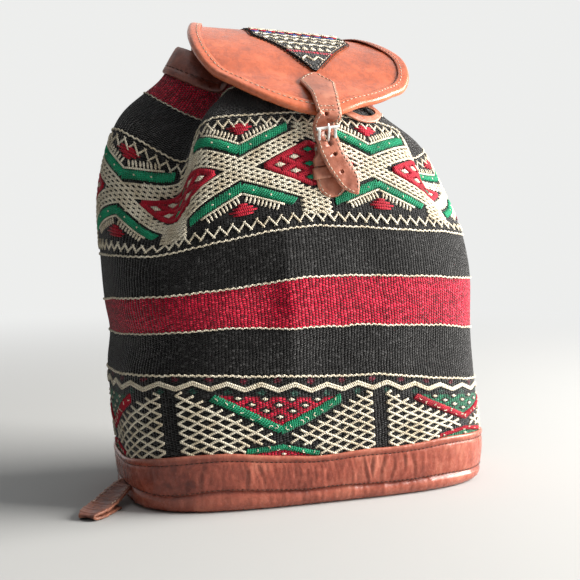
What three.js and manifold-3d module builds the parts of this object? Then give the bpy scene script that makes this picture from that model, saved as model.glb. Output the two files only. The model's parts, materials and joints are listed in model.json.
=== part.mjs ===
// Woven kilim backpack: leather base, gathered mouth, buckled flap and two shoulder straps.
// Millimetres, +Z up, front towards -Y, origin at the middle of the base's underside.
import * as THREE from "three";
import { mergeVertices } from "three/addons/utils/BufferGeometryUtils.js";
import Module from "manifold-3d";

// Bag
const BAG_WIDTH = 300;
const BAG_DEPTH = 150;
const CLOTH_WALL = 3;
const LEATHER = 2.2;
const FIT = 0.3;

// Heights along the cloth, each the next stripe up from the floor
const SEAM_HEIGHT = 10;
const BASE_BAND = 33;
const LOWER_PATTERN = 54;
const LOWER_BLACK = 34;
const RED_STRIPE = 32;
const UPPER_BLACK = 37;
const UPPER_PATTERN = 88;
const TOP_BLACK = 41;
const TOP_RED = 22;
const HEM_HEIGHT = 24;

// Gathered mouth
const CREASE_DEPTH_LEFT = 20.5;
const CREASE_DEPTH_RIGHT = 15;
const CREASE_DIP_LEFT = 28;
const CREASE_DIP_RIGHT = 17;
const CREASE_TURN_LEFT = 24.5;
const CREASE_TURN_RIGHT = 22;
const CREASE_SHARP = 6;
const CREASE_SPREAD = 9;
const CREASE_OPENING = 0.8;
const BACK_CREASE_LEFT = 20;
const BACK_CREASE_RIGHT = 13;
const BACK_CREASE_TURN = 25;
const BACK_CREASE_SPREAD = 11;
const RIPPLE_DEPTH = 1.6;
const RIPPLES = 9;
const CASING_DEPTH = 12;

// Base panel
const PANEL_EDGE_ROUND = 7;

// Lace
const LACE_DIAMETER = 2.8;
const EYELET_TURN = 22;
const EYELET_BORE = 6.8;
const EYELET_RIM = 1.4;
const EYELET_SHEET = 0.5;

// Flap
const FLAP_CENTRE = -7;
const FLAP_WIDTH = 171;
const FLAP_SIDE = 95;
const FLAP_NOSE = 73;
const FLAP_LEATHER = 2.4;
const FLAP_TILT = 3.5;
const FLAP_TRIM = 6.5;
const FLAP_GAP = 6;
const HINGE_WIDTH = 130;
const HINGE_BEAD = 5;
const BINDING_LEATHER = 1.2;
const BINDING_LAP = 8;
const INSET_WIDTH = 80;
const INSET_START = 16;
const INSET_SIDE = 66;
const INSET_POINT = 119;
const INSET_CLOTH = 1.2;
const INSET_SHIFT = 12;
const INSET_POINT_SHIFT = 4.5;

// Closure on the front
const CLOSURE_X = -4.5;
const CLOSURE_DROP = 46;
const CLOSURE_TILT = 8;
const TAB_WIDTH = 23;
const TAB_LENGTH = 36;
const KEEPER_HEIGHT = 8.5;
const STRAP_WIDTH = 17.5;
const STRAP_LEATHER = 2;
const STRAP_POINT = 123;
const SHIELD_WIDTH = 27;
const HOLE_DIAMETER = 3;
const HOLE_PITCH = 13;

// Buckles
const CLOSURE_WIRE = 2.4;
const CLOSURE_FRAME_LENGTH = 13;
const SHOULDER_WIRE = 3;
const SHOULDER_FRAME_LENGTH = 17;
const PRONG_WIRE = 1.8;
const BAR_PLAY = 0.3;

// Shoulder straps
const SHOULDER_WIDTH = 24;
const SHOULDER_SPACING = 52;
const SHOULDER_SPLAY = 8;
const SHOULDER_BUCKLE_HEIGHT = 150;
const PATCH_TURN = 47;
const PATCH_HEIGHT = 34;
const LOWER_STRAP_LENGTH = 54;
const LOWER_STRAP_FOLD = 34;
const LOWER_STRAP_LEFT_Y = -14;
const LOWER_STRAP_RIGHT_Y = 30;
const LOWER_STRAP_HEADING = 50;

// Heights that follow from the stripes
const bandTop = SEAM_HEIGHT + BASE_BAND;
const lowerPatternTop = bandTop + LOWER_PATTERN;
const redBottom = lowerPatternTop + LOWER_BLACK;
const redTop = redBottom + RED_STRIPE;
const upperPatternBottom = redTop + UPPER_BLACK;
const upperPatternTop = upperPatternBottom + UPPER_PATTERN;
const upperPatternMiddle = (upperPatternBottom + upperPatternTop) / 2;
const topBlackTop = upperPatternTop + TOP_BLACK;
const hemBottom = topBlackTop + TOP_RED;
const hemTop = hemBottom + HEM_HEIGHT;

const halfWidth = BAG_WIDTH / 2;
const halfDepth = BAG_DEPTH / 2;
const rad = THREE.MathUtils.degToRad;

const wasm = await Module();
wasm.setup();

// Materials
const finish = (color, roughness, metalness = 0) => () =>
  new THREE.MeshStandardMaterial({ color, roughness, metalness });
const wool = finish(0x2a2a2c, 0.95);
const flapLeather = finish(0xb5613a, 0.45);
const baseLeather = finish(0x7a4233, 0.42);
const strapLeather = finish(0x9a5a44, 0.5);
const steel = finish(0xc9c6c0, 0.3, 1);
const brass = finish(0xb08d4a, 0.35, 1);

// Stations up the cloth. Each gives the height along the cloth, how far the left, right, front and back reach
// past the base's half size, how far each of them hangs below that height, and how square the section is.
const STATIONS = [
  { height: 0, reach: [-12, -7, -7, -7], drop: [0, 0, 0, 0], square: 3.4 },
  { height: SEAM_HEIGHT, reach: [-10, -6, -2, -3], drop: [0, 0, 0, 0], square: 3.4 },
  { height: bandTop, reach: [-6.5, -5, 0, -1], drop: [7, 6, 1, 3], square: 3.4 },
  { height: lowerPatternTop, reach: [0, -9, 2, 0], drop: [1, 17, 0, 7], square: 3.2 },
  { height: redBottom, reach: [-1.5, -12, 2.5, 0], drop: [7, 13, 0, 7], square: 3 },
  { height: redTop, reach: [2.5, -14, 2.5, 0], drop: [16, 4, 0, 7], square: 2.9 },
  { height: upperPatternBottom, reach: [6, -17, 2, -1], drop: [18, 7, 0, 8], square: 2.7 },
  { height: upperPatternMiddle, reach: [9, -25, -2, -3], drop: [13, 11, 0, 6], square: 2.45 },
  { height: upperPatternTop, reach: [-1, -40, -10, -6], drop: [11, 19, 2, 6], square: 2.3 },
  { height: topBlackTop, reach: [-24, -65, -33, -10], drop: [18, 26, 25, 9], square: 2.2 },
  { height: hemBottom, reach: [-40, -77, -47, -15], drop: [24, 31, 34, 15], square: 2.2 },
  { height: hemTop, reach: [-55, -88, -62, -22], drop: [29, 37, 45, 28], square: 2.2 },
  { height: hemTop + HEM_HEIGHT, reach: [-69, -98, -75, -31], drop: [36, 45, 57, 44], square: 2.2 },
].map((s) => ({
  height: s.height,
  values: [
    halfWidth + s.reach[0],
    halfWidth + s.reach[1],
    halfDepth + s.reach[2],
    halfDepth + s.reach[3],
    ...s.drop,
    s.square,
  ],
}));

// Smooth curve through the stations at one height
function stationAt(height) {
  const last = STATIONS.length - 2;
  let k = STATIONS.findIndex((s) => s.height > height) - 1;
  k = k < 0 ? (height < STATIONS[1].height ? 0 : last) : Math.min(k, last);
  const at = (i) => STATIONS[THREE.MathUtils.clamp(i, 0, last + 1)];
  const [a, b, c, d] = [at(k - 1), at(k), at(k + 1), at(k + 2)];
  const span = c.height - b.height;
  const f = (height - b.height) / span;
  const slope = (p, q, i) => (q === p ? 0 : (q.values[i] - p.values[i]) / (q.height - p.height));
  return b.values.map((start, i) => {
    const end = c.values[i];
    const leave = slope(a, c, i) * span;
    const arrive = slope(b, d, i) * span;
    const ff = f * f;
    const fff = ff * f;
    const rise = 3 * ff - 2 * fff;
    return start + rise * (end - start) + (fff - 2 * ff + f) * leave + (fff - ff) * arrive;
  });
}

// The four creases of the gathered mouth, by turn about the bag's axis
const backFold = {
  before: BACK_CREASE_SPREAD,
  after: BACK_CREASE_SPREAD,
  opening: 0,
  low: 0,
  high: 0,
};
const CREASES = [
  {
    turn: 180 + CREASE_TURN_LEFT,
    depth: CREASE_DEPTH_LEFT,
    dip: CREASE_DIP_LEFT,
    before: CREASE_SPREAD,
    after: CREASE_SHARP,
    opening: CREASE_OPENING,
    low: UPPER_PATTERN / 4,
    high: UPPER_PATTERN / 5,
  },
  {
    turn: 360 - CREASE_TURN_RIGHT,
    depth: CREASE_DEPTH_RIGHT,
    dip: CREASE_DIP_RIGHT,
    before: CREASE_SHARP,
    after: CREASE_SPREAD,
    opening: CREASE_OPENING,
    low: UPPER_PATTERN / 20,
    high: UPPER_PATTERN / 10,
  },
  { turn: 180 - BACK_CREASE_TURN, depth: BACK_CREASE_LEFT, dip: BACK_CREASE_LEFT, ...backFold },
  { turn: BACK_CREASE_TURN, depth: BACK_CREASE_RIGHT, dip: BACK_CREASE_RIGHT, ...backFold },
];

// Share of a crease at a turn, with its own spread on each flank, wider in the hem
function bell(turn, height, crease) {
  const away = THREE.MathUtils.euclideanModulo(turn - crease.turn + 180, 360) - 180;
  const open = 1 + crease.opening * THREE.MathUtils.smoothstep(height, upperPatternTop, hemBottom);
  return Math.exp(-0.5 * (away / (open * (away < 0 ? crease.before : crease.after))) ** 2);
}

// A point of the cloth's outer face, by turn in degrees about the axis and height along the cloth
function clothFace(turn, height) {
  const [left, right, front, back, ...rest] = stationAt(height);
  const [leftDrop, rightDrop, frontDrop, backDrop, square] = rest;
  const c = Math.cos(rad(turn));
  const s = Math.sin(rad(turn));
  const wide = (left + right) / 2;
  const deep = (front + back) / 2;
  let radius = (Math.abs(c / wide) ** square + Math.abs(s / deep) ** square) ** (-1 / square);
  let drop = c * c * (c < 0 ? leftDrop : rightDrop) + s * s * (s < 0 ? frontDrop : backDrop);
  const ease = 1 - 0.45 * THREE.MathUtils.smoothstep(height, topBlackTop, hemTop);
  for (const crease of CREASES) {
    const low = upperPatternBottom - crease.low;
    const high = upperPatternTop - crease.high;
    const fold = THREE.MathUtils.smoothstep(height, low, high) * ease * bell(turn, height, crease);
    radius -= crease.depth * fold;
    drop += crease.dip * fold;
  }
  const pucker = THREE.MathUtils.smoothstep(height, upperPatternTop, hemBottom);
  radius -= RIPPLE_DEPTH * pucker * (1 + Math.cos(RIPPLES * rad(turn)));
  return new THREE.Vector3((right - left) / 2 + radius * c, (back - front) / 2 + radius * s, height - drop);
}

function clothNormal(turn, height) {
  const step = 0.5;
  const across = clothFace(turn + step, height).sub(clothFace(turn - step, height));
  const upward = clothFace(turn, height + step).sub(clothFace(turn, height - step));
  return across.cross(upward).normalize();
}

// The same point moved out from the cloth, or in when out is negative
function cloth(turn, height, out = 0) {
  return clothFace(turn, height).addScaledVector(clothNormal(turn, height), out);
}

// The turn at which the front or the back of the bag has a given X
function turnAtX(x, height, front) {
  let low = front ? 181 : 179;
  let high = front ? 359 : 1;
  for (let i = 0; i < 40; i++) {
    const middle = (low + high) / 2;
    if (clothFace(middle, height).x < x) low = middle;
    else high = middle;
  }
  return (low + high) / 2;
}

const steps = (count, from, to) =>
  Array.from({ length: count + 1 }, (_, i) => from + ((to - from) * i) / count);
const TURNS = steps(63, 0, 360 - 360 / 64);

// Geometry from points and triangles, turned to face outwards
function solidGeometry(points, faces) {
  const normal = new THREE.Vector3();
  let volume = 0;
  for (const [a, b, c] of faces) volume += points[a].dot(normal.crossVectors(points[b], points[c]));
  const geometry = new THREE.BufferGeometry().setFromPoints(points);
  geometry.setIndex(faces.flatMap(([a, b, c]) => (volume < 0 ? [a, c, b] : [a, b, c])));
  return geometry.toNonIndexed();
}

// A wall between two like grids of points; wraps joins the last row to the first
function shell(outer, inner, wraps = false) {
  const rows = outer.length;
  const columns = outer[0].length;
  const faces = [];
  const quad = (a, b, c, d) => faces.push([a, b, c], [a, c, d]);
  const o = (i, j) => (i % rows) * columns + j;
  const n = (i, j) => rows * columns + o(i, j);
  const end = wraps ? rows : rows - 1;
  for (let i = 0; i < end; i++) {
    for (let j = 0; j < columns - 1; j++) {
      quad(o(i, j), o(i + 1, j), o(i + 1, j + 1), o(i, j + 1));
      quad(n(i, j), n(i, j + 1), n(i + 1, j + 1), n(i + 1, j));
    }
    quad(o(i + 1, 0), o(i, 0), n(i, 0), n(i + 1, 0));
    quad(o(i, columns - 1), o(i + 1, columns - 1), n(i + 1, columns - 1), n(i, columns - 1));
  }
  if (!wraps) {
    for (let j = 0; j < columns - 1; j++) {
      quad(o(0, j), o(0, j + 1), n(0, j + 1), n(0, j));
      quad(o(end, j + 1), o(end, j), n(end, j), n(end, j + 1));
    }
  }
  return solidGeometry([...outer.flat(), ...inner.flat()], faces);
}

// A full body from rings stacked on each other
function stack(rings) {
  const count = rings[0].length;
  const faces = [];
  const top = (rings.length - 1) * count;
  rings.slice(1).forEach((_, r) => {
    for (let i = 0; i < count; i++) {
      const next = (i + 1) % count;
      const low = r * count;
      const high = low + count;
      faces.push([low + i, low + next, high + next], [low + i, high + next, high + i]);
    }
  });
  for (let i = 1; i < count - 1; i++) {
    faces.push([0, i + 1, i], [top, top + i, top + i + 1]);
  }
  return solidGeometry(rings.flat(), faces);
}

function toSolid(geometry) {
  const bare = new THREE.BufferGeometry().setAttribute("position", geometry.getAttribute("position").clone());
  if (geometry.index) bare.setIndex(geometry.index);
  const merged = mergeVertices(bare, 1e-4);
  const mesh = new wasm.Mesh({
    numProp: 3,
    vertProperties: merged.getAttribute("position").array,
    triVerts: new Uint32Array(merged.index.array),
  });
  return new wasm.Manifold(mesh);
}

function fromSolid(solid) {
  const { vertProperties, triVerts } = solid.getMesh();
  const geometry = new THREE.BufferGeometry();
  geometry.setAttribute("position", new THREE.BufferAttribute(vertProperties, 3));
  geometry.setIndex(new THREE.BufferAttribute(triVerts, 1));
  return geometry.toNonIndexed();
}

const join = (first, ...others) => fromSolid(others.reduce((s, g) => s.add(toSolid(g)), toSolid(first)));
const cut = (first, ...others) => fromSolid(others.reduce((s, g) => s.subtract(toSolid(g)), toSolid(first)));
const common = (first, other) => fromSolid(toSolid(first).intersect(toSolid(other)));

function extrude(shape, depth, curveSegments = 6) {
  return new THREE.ExtrudeGeometry(shape, { depth, bevelEnabled: false, curveSegments });
}

function polygon(points) {
  return new THREE.Shape(points.map(([x, y]) => new THREE.Vector2(x, y)));
}

// A round wire or lace along points
function roundAlong(points, diameter, count, sides = 8) {
  const section = new THREE.Shape().absarc(0, 0, diameter / 2, 0, 2 * Math.PI);
  return new THREE.ExtrudeGeometry(section, {
    steps: count,
    curveSegments: sides / 2,
    bevelEnabled: false,
    extrudePath: new THREE.CatmullRomCurve3(points),
  });
}

// A flat strip along stations, each with its middle, half width vector and half thickness vector
function strip(stations) {
  const side = (sign) =>
    stations.map(({ middle, half, thick }) =>
      [-1, 0, 1].map((k) => middle.clone().addScaledVector(half, k).addScaledVector(thick, sign)),
    );
  return shell(side(1), side(-1));
}

const bag = new THREE.Group();

function piece(name, geometry, material, parent = bag) {
  const mesh = new THREE.Mesh(geometry, material());
  mesh.name = name;
  geometry.computeVertexNormals();
  parent.add(mesh);
  return mesh;
}

// Woven body, from behind the leather band up into the hem
const clothTop = hemTop - CASING_DEPTH;
const clothBottom = SEAM_HEIGHT + CLOTH_WALL;
const clothHeights = [
  clothBottom,
  bandTop,
  bandTop + LOWER_PATTERN / 4,
  lowerPatternTop,
  redBottom,
  (redBottom + redTop) / 2,
  redTop,
  upperPatternBottom,
  ...steps(4, upperPatternBottom, upperPatternTop).slice(1),
  (upperPatternTop + topBlackTop) / 2,
  topBlackTop,
  (topBlackTop + hemBottom) / 2,
  hemBottom,
  clothTop,
];
const clothGrid = (heights, out) => TURNS.map((turn) => heights.map((height) => cloth(turn, height, out)));
piece("kilim_body", shell(clothGrid(clothHeights, 0), clothGrid(clothHeights, -CLOTH_WALL), true), wool);

// Leather band round the foot of the cloth
const bandHeights = [SEAM_HEIGHT + FIT, (SEAM_HEIGHT + bandTop) / 2, bandTop];
const bandShell = shell(clothGrid(bandHeights, FIT + LEATHER), clothGrid(bandHeights, FIT), true);
piece("base_band", bandShell, baseLeather);

// Bottom panel, a shallow tray whose edge turns up to the band's seam
function panelRing(height, inset) {
  const edge = Math.max(PANEL_EDGE_ROUND - height, 0);
  const round = PANEL_EDGE_ROUND - Math.sqrt(PANEL_EDGE_ROUND ** 2 - edge ** 2);
  return TURNS.map((turn) => cloth(turn, SEAM_HEIGHT, FIT + LEATHER - round - inset).setZ(height));
}
const panelTop = SEAM_HEIGHT - 3 * FIT;
const panelOuter = stack([0, 1, 3, PANEL_EDGE_ROUND, panelTop].map((height) => panelRing(height, 0)));
const panelInner = stack(
  [LEATHER, PANEL_EDGE_ROUND, SEAM_HEIGHT + FIT].map((height) => panelRing(height, LEATHER)),
);
piece("base_panel", cut(panelOuter, panelInner), baseLeather);

// Hem folded over the mouth, with a casing for the lace above the cloth's edge
const hemOut = FIT + LEATHER;
const hemIn = -CLOTH_WALL - 4 * FIT;
const hemSpan = { low: hemBottom, roof: hemTop - LEATHER, lowInside: clothTop - CASING_DEPTH };
const hemOuterSide = (turn) => [
  cloth(turn, hemSpan.low, hemOut),
  cloth(turn, clothTop, hemOut),
  cloth(turn, hemTop, hemOut),
  cloth(turn, hemTop, hemIn - LEATHER),
  cloth(turn, clothTop, hemIn - LEATHER),
  cloth(turn, hemSpan.lowInside, hemIn - LEATHER),
];
const hemInnerSide = (turn) => [
  cloth(turn, hemSpan.low, FIT),
  cloth(turn, clothTop, FIT),
  cloth(turn, hemSpan.roof, FIT),
  cloth(turn, hemSpan.roof, hemIn),
  cloth(turn, clothTop, hemIn),
  cloth(turn, hemSpan.lowInside, hemIn),
];
const hemShell = shell(TURNS.map(hemOuterSide), TURNS.map(hemInnerSide), true);

// Eyelets where the lace leaves the casing, each a flanged ring through the hem's outer leg
const laceHeight = (clothTop + hemSpan.roof) / 2;
const laceOut = (FIT + hemIn) / 2;
const eyelets = { left: 270 - EYELET_TURN, right: 270 + EYELET_TURN };

function eyeletGroup(turn) {
  const out = clothNormal(turn, laceHeight);
  const group = new THREE.Group();
  group.position.copy(cloth(turn, laceHeight, FIT));
  group.quaternion.setFromUnitVectors(new THREE.Vector3(0, 0, 1), out);
  group.updateMatrix();
  return group;
}

function tubeRing(bore, wall, low, high) {
  return new THREE.LatheGeometry(
    [
      [bore, low],
      [bore + wall, low],
      [bore + wall, high],
      [bore, high],
      [bore, low],
    ].map(([r, z]) => new THREE.Vector2(r, z)),
    16,
  ).rotateX(Math.PI / 2);
}

const eyeletWall = EYELET_BORE / 2 + EYELET_SHEET;
const eyeletReach = eyeletWall + FIT;
const eyeletHole = new THREE.CylinderGeometry(eyeletReach, eyeletReach, 4 * LEATHER, 16).rotateX(Math.PI / 2);
const eyeletPlaces = Object.entries(eyelets).map(([side, turn]) => ({ side, group: eyeletGroup(turn) }));
const eyeletCuts = eyeletPlaces.map(({ group }) => eyeletHole.clone().applyMatrix4(group.matrix));
piece("top_hem", cut(hemShell, ...eyeletCuts), baseLeather);
for (const { side, group } of eyeletPlaces) {
  const face = LEATHER + 3 * FIT;
  const barrel = tubeRing(EYELET_BORE / 2, EYELET_SHEET, FIT, face + EYELET_SHEET);
  const flange = tubeRing(EYELET_BORE / 2, EYELET_RIM + EYELET_SHEET, face, face + EYELET_SHEET);
  piece(`eyelet_${side}`, join(barrel, flange), brass, group);
  bag.add(group);
}

// Lace inside the casing, out through both eyelets and down to the bow under the flap
const bowHeight = topBlackTop - TOP_BLACK / 2;
const laceLift = LACE_DIAMETER / 2 + 4 * FIT;
const bow = { x: CLOSURE_X + 6.5, height: bowHeight, wide: 10, tall: 8, deep: 4.4 };
const onFront = (x, height, out) => cloth(turnAtX(x, height, true), height, out);

function laceLead(turn, x) {
  return [
    cloth(turn, laceHeight, laceOut + LACE_DIAMETER / 4),
    cloth(turn, laceHeight, hemOut),
    cloth(turn, laceHeight - FIT, hemOut + LACE_DIAMETER),
    cloth(turn, hemBottom + HEM_HEIGHT / 4, hemOut + LACE_DIAMETER),
    cloth(turn, hemBottom - HEM_HEIGHT / 4, hemOut + LACE_DIAMETER / 2),
    onFront(x, bow.height + bow.tall, laceLift),
  ];
}

const casingTurns = steps(80, eyelets.right + 7, eyelets.left - 7 + 360);
const lacePoints = [
  ...laceLead(eyelets.right, bow.x + bow.wide / 4).reverse(),
  ...casingTurns.map((turn) => cloth(turn, laceHeight, laceOut)),
  ...laceLead(eyelets.left, bow.x - bow.wide / 4),
];
piece("drawstring", roundAlong(lacePoints, LACE_DIAMETER, 160), strapLeather);

// Bow: flat knot, the loop that hangs below the flap at the right, a smaller loop and two tails
function bowStrand(places) {
  return roundAlong(
    places.map(([x, height]) => onFront(bow.x + x, bow.height + height, laceLift)),
    LACE_DIAMETER,
    4 * places.length,
  );
}
const rightLoop = bowStrand([
  [0, -2],
  [1, -12],
  [8, -21],
  [19, -25],
  [30, -21],
  [37, -12],
  [33, -4],
  [20, 1],
  [4, 0],
]);
const leftLoop = bowStrand([
  [-2, 0],
  [-14, 5],
  [-25, 4],
  [-27, -3],
  [-16, -4],
  [-2, -1],
]);
const tail = bowStrand([
  [-2, -2],
  [-8, -9],
  [-16, -14],
]);
const knot = new THREE.SphereGeometry(0.5, 12, 8).scale(bow.wide, bow.deep, bow.tall);
const knotPlace = onFront(bow.x, bow.height, laceLift);
const knotTurn = new THREE.Quaternion().setFromUnitVectors(
  new THREE.Vector3(0, -1, 0),
  clothNormal(turnAtX(bow.x, bow.height, true), bow.height),
);
knot.applyQuaternion(knotTurn).translate(knotPlace.x, knotPlace.y, knotPlace.z);
piece("drawstring_bow", join(knot, rightLoop, leftLoop, tail), strapLeather);

// Patch on the upper back that carries the flap's seam and the straps
const patchTop = hemBottom - 2 * FIT;
const patchTurns = TURNS.filter((turn) => Math.abs(turn - 90) < PATCH_TURN);
const patchHeights = [
  patchTop - PATCH_HEIGHT,
  ...clothHeights.filter((height) => height > patchTop - PATCH_HEIGHT && height < patchTop),
  patchTop,
];
const patchGrid = (out) => patchTurns.map((turn) => patchHeights.map((height) => cloth(turn, height, out)));
piece("anchor_patch", shell(patchGrid(2 * FIT + LEATHER), patchGrid(2 * FIT)), baseLeather);

// Flap: its middle line runs from the hinge over the mouth and down the front, clear of the cloth
const hingeOut = hemOut + FIT + HINGE_BEAD / 2 + RIPPLE_DEPTH;
const backFace = cloth(90, (hemBottom + hemTop) / 2, hingeOut);
const hinge = { y: backFace.y, z: backFace.z };
const backRim = cloth(90, hemTop);
const frontRim = cloth(270, hemTop);
const flapMiddle = FLAP_GAP + FLAP_LEATHER / 2;
const rimLift = flapMiddle + LACE_DIAMETER;
const mouthSpan = backRim.y - frontRim.y;
const flapLine = new THREE.CatmullRomCurve3([
  new THREE.Vector3(0, hinge.y, hinge.z),
  new THREE.Vector3(0, backRim.y + HINGE_BEAD + RIPPLE_DEPTH, backRim.z + flapMiddle),
  new THREE.Vector3(0, backRim.y - mouthSpan / 4, backRim.z + rimLift),
  new THREE.Vector3(0, backRim.y - mouthSpan / 2, backRim.z + flapMiddle),
  ...[
    [hemTop, rimLift],
    [hemBottom, rimLift],
    [topBlackTop, flapMiddle + LACE_DIAMETER / 2],
    [bowHeight, flapMiddle + LACE_DIAMETER / 4],
    [upperPatternTop, flapMiddle],
    [upperPatternTop - TOP_BLACK / 2, flapMiddle],
  ].map(([height, out]) => cloth(270, height, out).setX(0)),
]);
flapLine.arcLengthDivisions = 400;
const flapLineLength = flapLine.getLength();
const flapLength = FLAP_SIDE + FLAP_NOSE;
const flapHalf = FLAP_WIDTH / 2;

function flapFace(x, along, out) {
  const u = THREE.MathUtils.clamp(along / flapLineLength, 0, 1);
  const point = flapLine.getPointAt(u);
  const tangent = flapLine.getTangentAt(u);
  const normal = new THREE.Vector3(0, tangent.z, -tangent.y);
  const settle = THREE.MathUtils.smoothstep(along, 0, FLAP_SIDE / 2);
  point.addScaledVector(normal, out);
  point.x = FLAP_CENTRE + x;
  point.z -= (settle * FLAP_TILT * x) / flapHalf;
  return point;
}

// How much shorter the front edge is cut on the right
function flapTrim(x) {
  const { smoothstep } = THREE.MathUtils;
  return FLAP_TRIM * smoothstep(x, 0, flapHalf * 0.38) * (1 - smoothstep(x, flapHalf * 0.68, flapHalf));
}

// How far along the flap its outline lies at a given x
function flapReach(x) {
  return FLAP_SIDE + FLAP_NOSE * Math.sqrt(Math.max(1 - (x / flapHalf) ** 2, 0)) - flapTrim(x);
}

// Half width of the flap from its narrow hinge edge to its full width
function flapTaper(along) {
  return THREE.MathUtils.lerp(HINGE_WIDTH / 2, flapHalf, THREE.MathUtils.smoothstep(along, 0, FLAP_SIDE));
}

const flapColumns = steps(24, -1, 1).map((k) => flapHalf * Math.sin((k * Math.PI) / 2));
const flapGrid = (out) =>
  flapColumns.map((x) =>
    steps(22, 0, flapReach(x)).map((along) => flapFace((x * flapTaper(along)) / flapHalf, along, out)),
  );
const bead = new THREE.CylinderGeometry(HINGE_BEAD / 2, HINGE_BEAD / 2, HINGE_WIDTH, 12)
  .rotateZ(Math.PI / 2)
  .translate(FLAP_CENTRE, hinge.y, hinge.z);
const flapPanel = shell(flapGrid(FLAP_LEATHER / 2), flapGrid(-FLAP_LEATHER / 2));
piece("flap_leather", join(flapPanel, bead), flapLeather);

// Binding folded over the flap's free edge
const bindingStart = HINGE_BEAD * 4;
const bindingEdge = [
  ...steps(8, bindingStart, FLAP_SIDE).map((along) => ({ x: -flapTaper(along), along, inX: 1, inAlong: 0 })),
  ...steps(28, 180, 0)
    .slice(1, -1)
    .map((angle) => {
      const x = flapHalf * Math.cos(rad(angle));
      const along = flapReach(x);
      const lean = rad(angle);
      const inward = new THREE.Vector2(-Math.cos(lean) / flapHalf, -Math.sin(lean) / FLAP_NOSE).normalize();
      return { x, along, inX: inward.x, inAlong: inward.y };
    }),
  ...steps(8, FLAP_SIDE, bindingStart).map((along) => ({ x: flapTaper(along), along, inX: -1, inAlong: 0 })),
];
const bindingSide = (gap) => {
  const face = FLAP_LEATHER / 2 + gap;
  return bindingEdge.map((e) => {
    const at = (lap, out) => flapFace(e.x + e.inX * lap, e.along + e.inAlong * lap, out);
    return [at(BINDING_LAP, face), at(-gap, face), at(-gap, -face), at(BINDING_LAP, -face)];
  });
};
piece("flap_binding", shell(bindingSide(2 * FIT + BINDING_LEATHER), bindingSide(2 * FIT)), flapLeather);

// Kilim tongue sewn on the flap
const insetHalf = (along) =>
  (INSET_WIDTH / 2) * Math.min(1, (INSET_POINT - along) / (INSET_POINT - INSET_SIDE) + 0.02);
const insetShift = (along) =>
  THREE.MathUtils.mapLinear(along, INSET_START, INSET_POINT, INSET_SHIFT, INSET_POINT_SHIFT);
const insetRows = [...steps(7, INSET_START, INSET_SIDE), ...steps(7, INSET_SIDE, INSET_POINT).slice(1)];
const insetGrid = (out) =>
  insetRows.map((along) =>
    steps(6, -1, 1).map((k) => flapFace(k * insetHalf(along) + insetShift(along), along, out)),
  );
const insetFace = FLAP_LEATHER / 2 + 2 * FIT;
piece("flap_inset", shell(insetGrid(insetFace + INSET_CLOTH), insetGrid(insetFace)), wool);

// A buckle's own frame: x along its bar, y from the bar towards the far side, z out from the bag
function buckleGroup(place, far, out) {
  const across = new THREE.Vector3().crossVectors(far, out).normalize();
  const outward = new THREE.Vector3().crossVectors(across, far).normalize();
  const group = new THREE.Group();
  const axes = new THREE.Matrix4().makeBasis(across, far.clone().normalize(), outward);
  group.applyMatrix4(axes.setPosition(place));
  group.updateMatrix();
  bag.add(group);
  return group;
}

const loopInside = (wire) => wire / 2 + BAR_PLAY;
const loopOutside = (wire, leather) => loopInside(wire) + leather;

// Wire frame hinged on its bar at the origin; the far side stands out by rise
function buckleFrame(wire, inside, length, rise) {
  const half = inside / 2 + wire / 2;
  const tilt = Math.atan2(rise, length);
  const reach = Math.hypot(length, rise);
  const corner = wire;
  const outline = [];
  for (const [x, y, turn] of [
    [half - corner, reach - corner, 0],
    [-half + corner, reach - corner, 90],
    [-half + corner, corner, 180],
    [half - corner, corner, 270],
  ]) {
    for (const angle of [0, 45, 90]) {
      const a = rad(turn + angle);
      outline.push(new THREE.Vector3(x + corner * Math.cos(a), y + corner * Math.sin(a), 0));
    }
  }
  const path = new THREE.CatmullRomCurve3(outline, true, "catmullrom", 0.25);
  return new THREE.TubeGeometry(path, 40, wire / 2, 8, true).rotateX(tilt);
}

// Prong: an eye round the bar and a shank that rests on the frame's far side
function buckleProng(wire, length, rise) {
  const eyeInside = loopInside(wire);
  const ring = new THREE.Shape().absarc(0, 0, eyeInside + PRONG_WIRE * 0.7, 0, 2 * Math.PI);
  ring.holes.push(new THREE.Path().absarc(0, 0, eyeInside, 0, 2 * Math.PI));
  const eye = extrude(ring, PRONG_WIRE).translate(0, 0, -PRONG_WIRE / 2).rotateY(Math.PI / 2);
  const rest = rise + wire / 2 + PRONG_WIRE / 2 + FIT;
  const start = eyeInside + PRONG_WIRE / 2;
  const shank = roundAlong(
    [
      new THREE.Vector3(0, start * 0.8, start * 0.7),
      new THREE.Vector3(0, length * 0.45, rest * 0.55),
      new THREE.Vector3(0, length * 0.8, rest * 0.93),
      new THREE.Vector3(0, length, rest),
      new THREE.Vector3(0, length + wire, rest),
    ],
    PRONG_WIRE,
    8,
  );
  return join(eye, shank);
}

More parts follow.
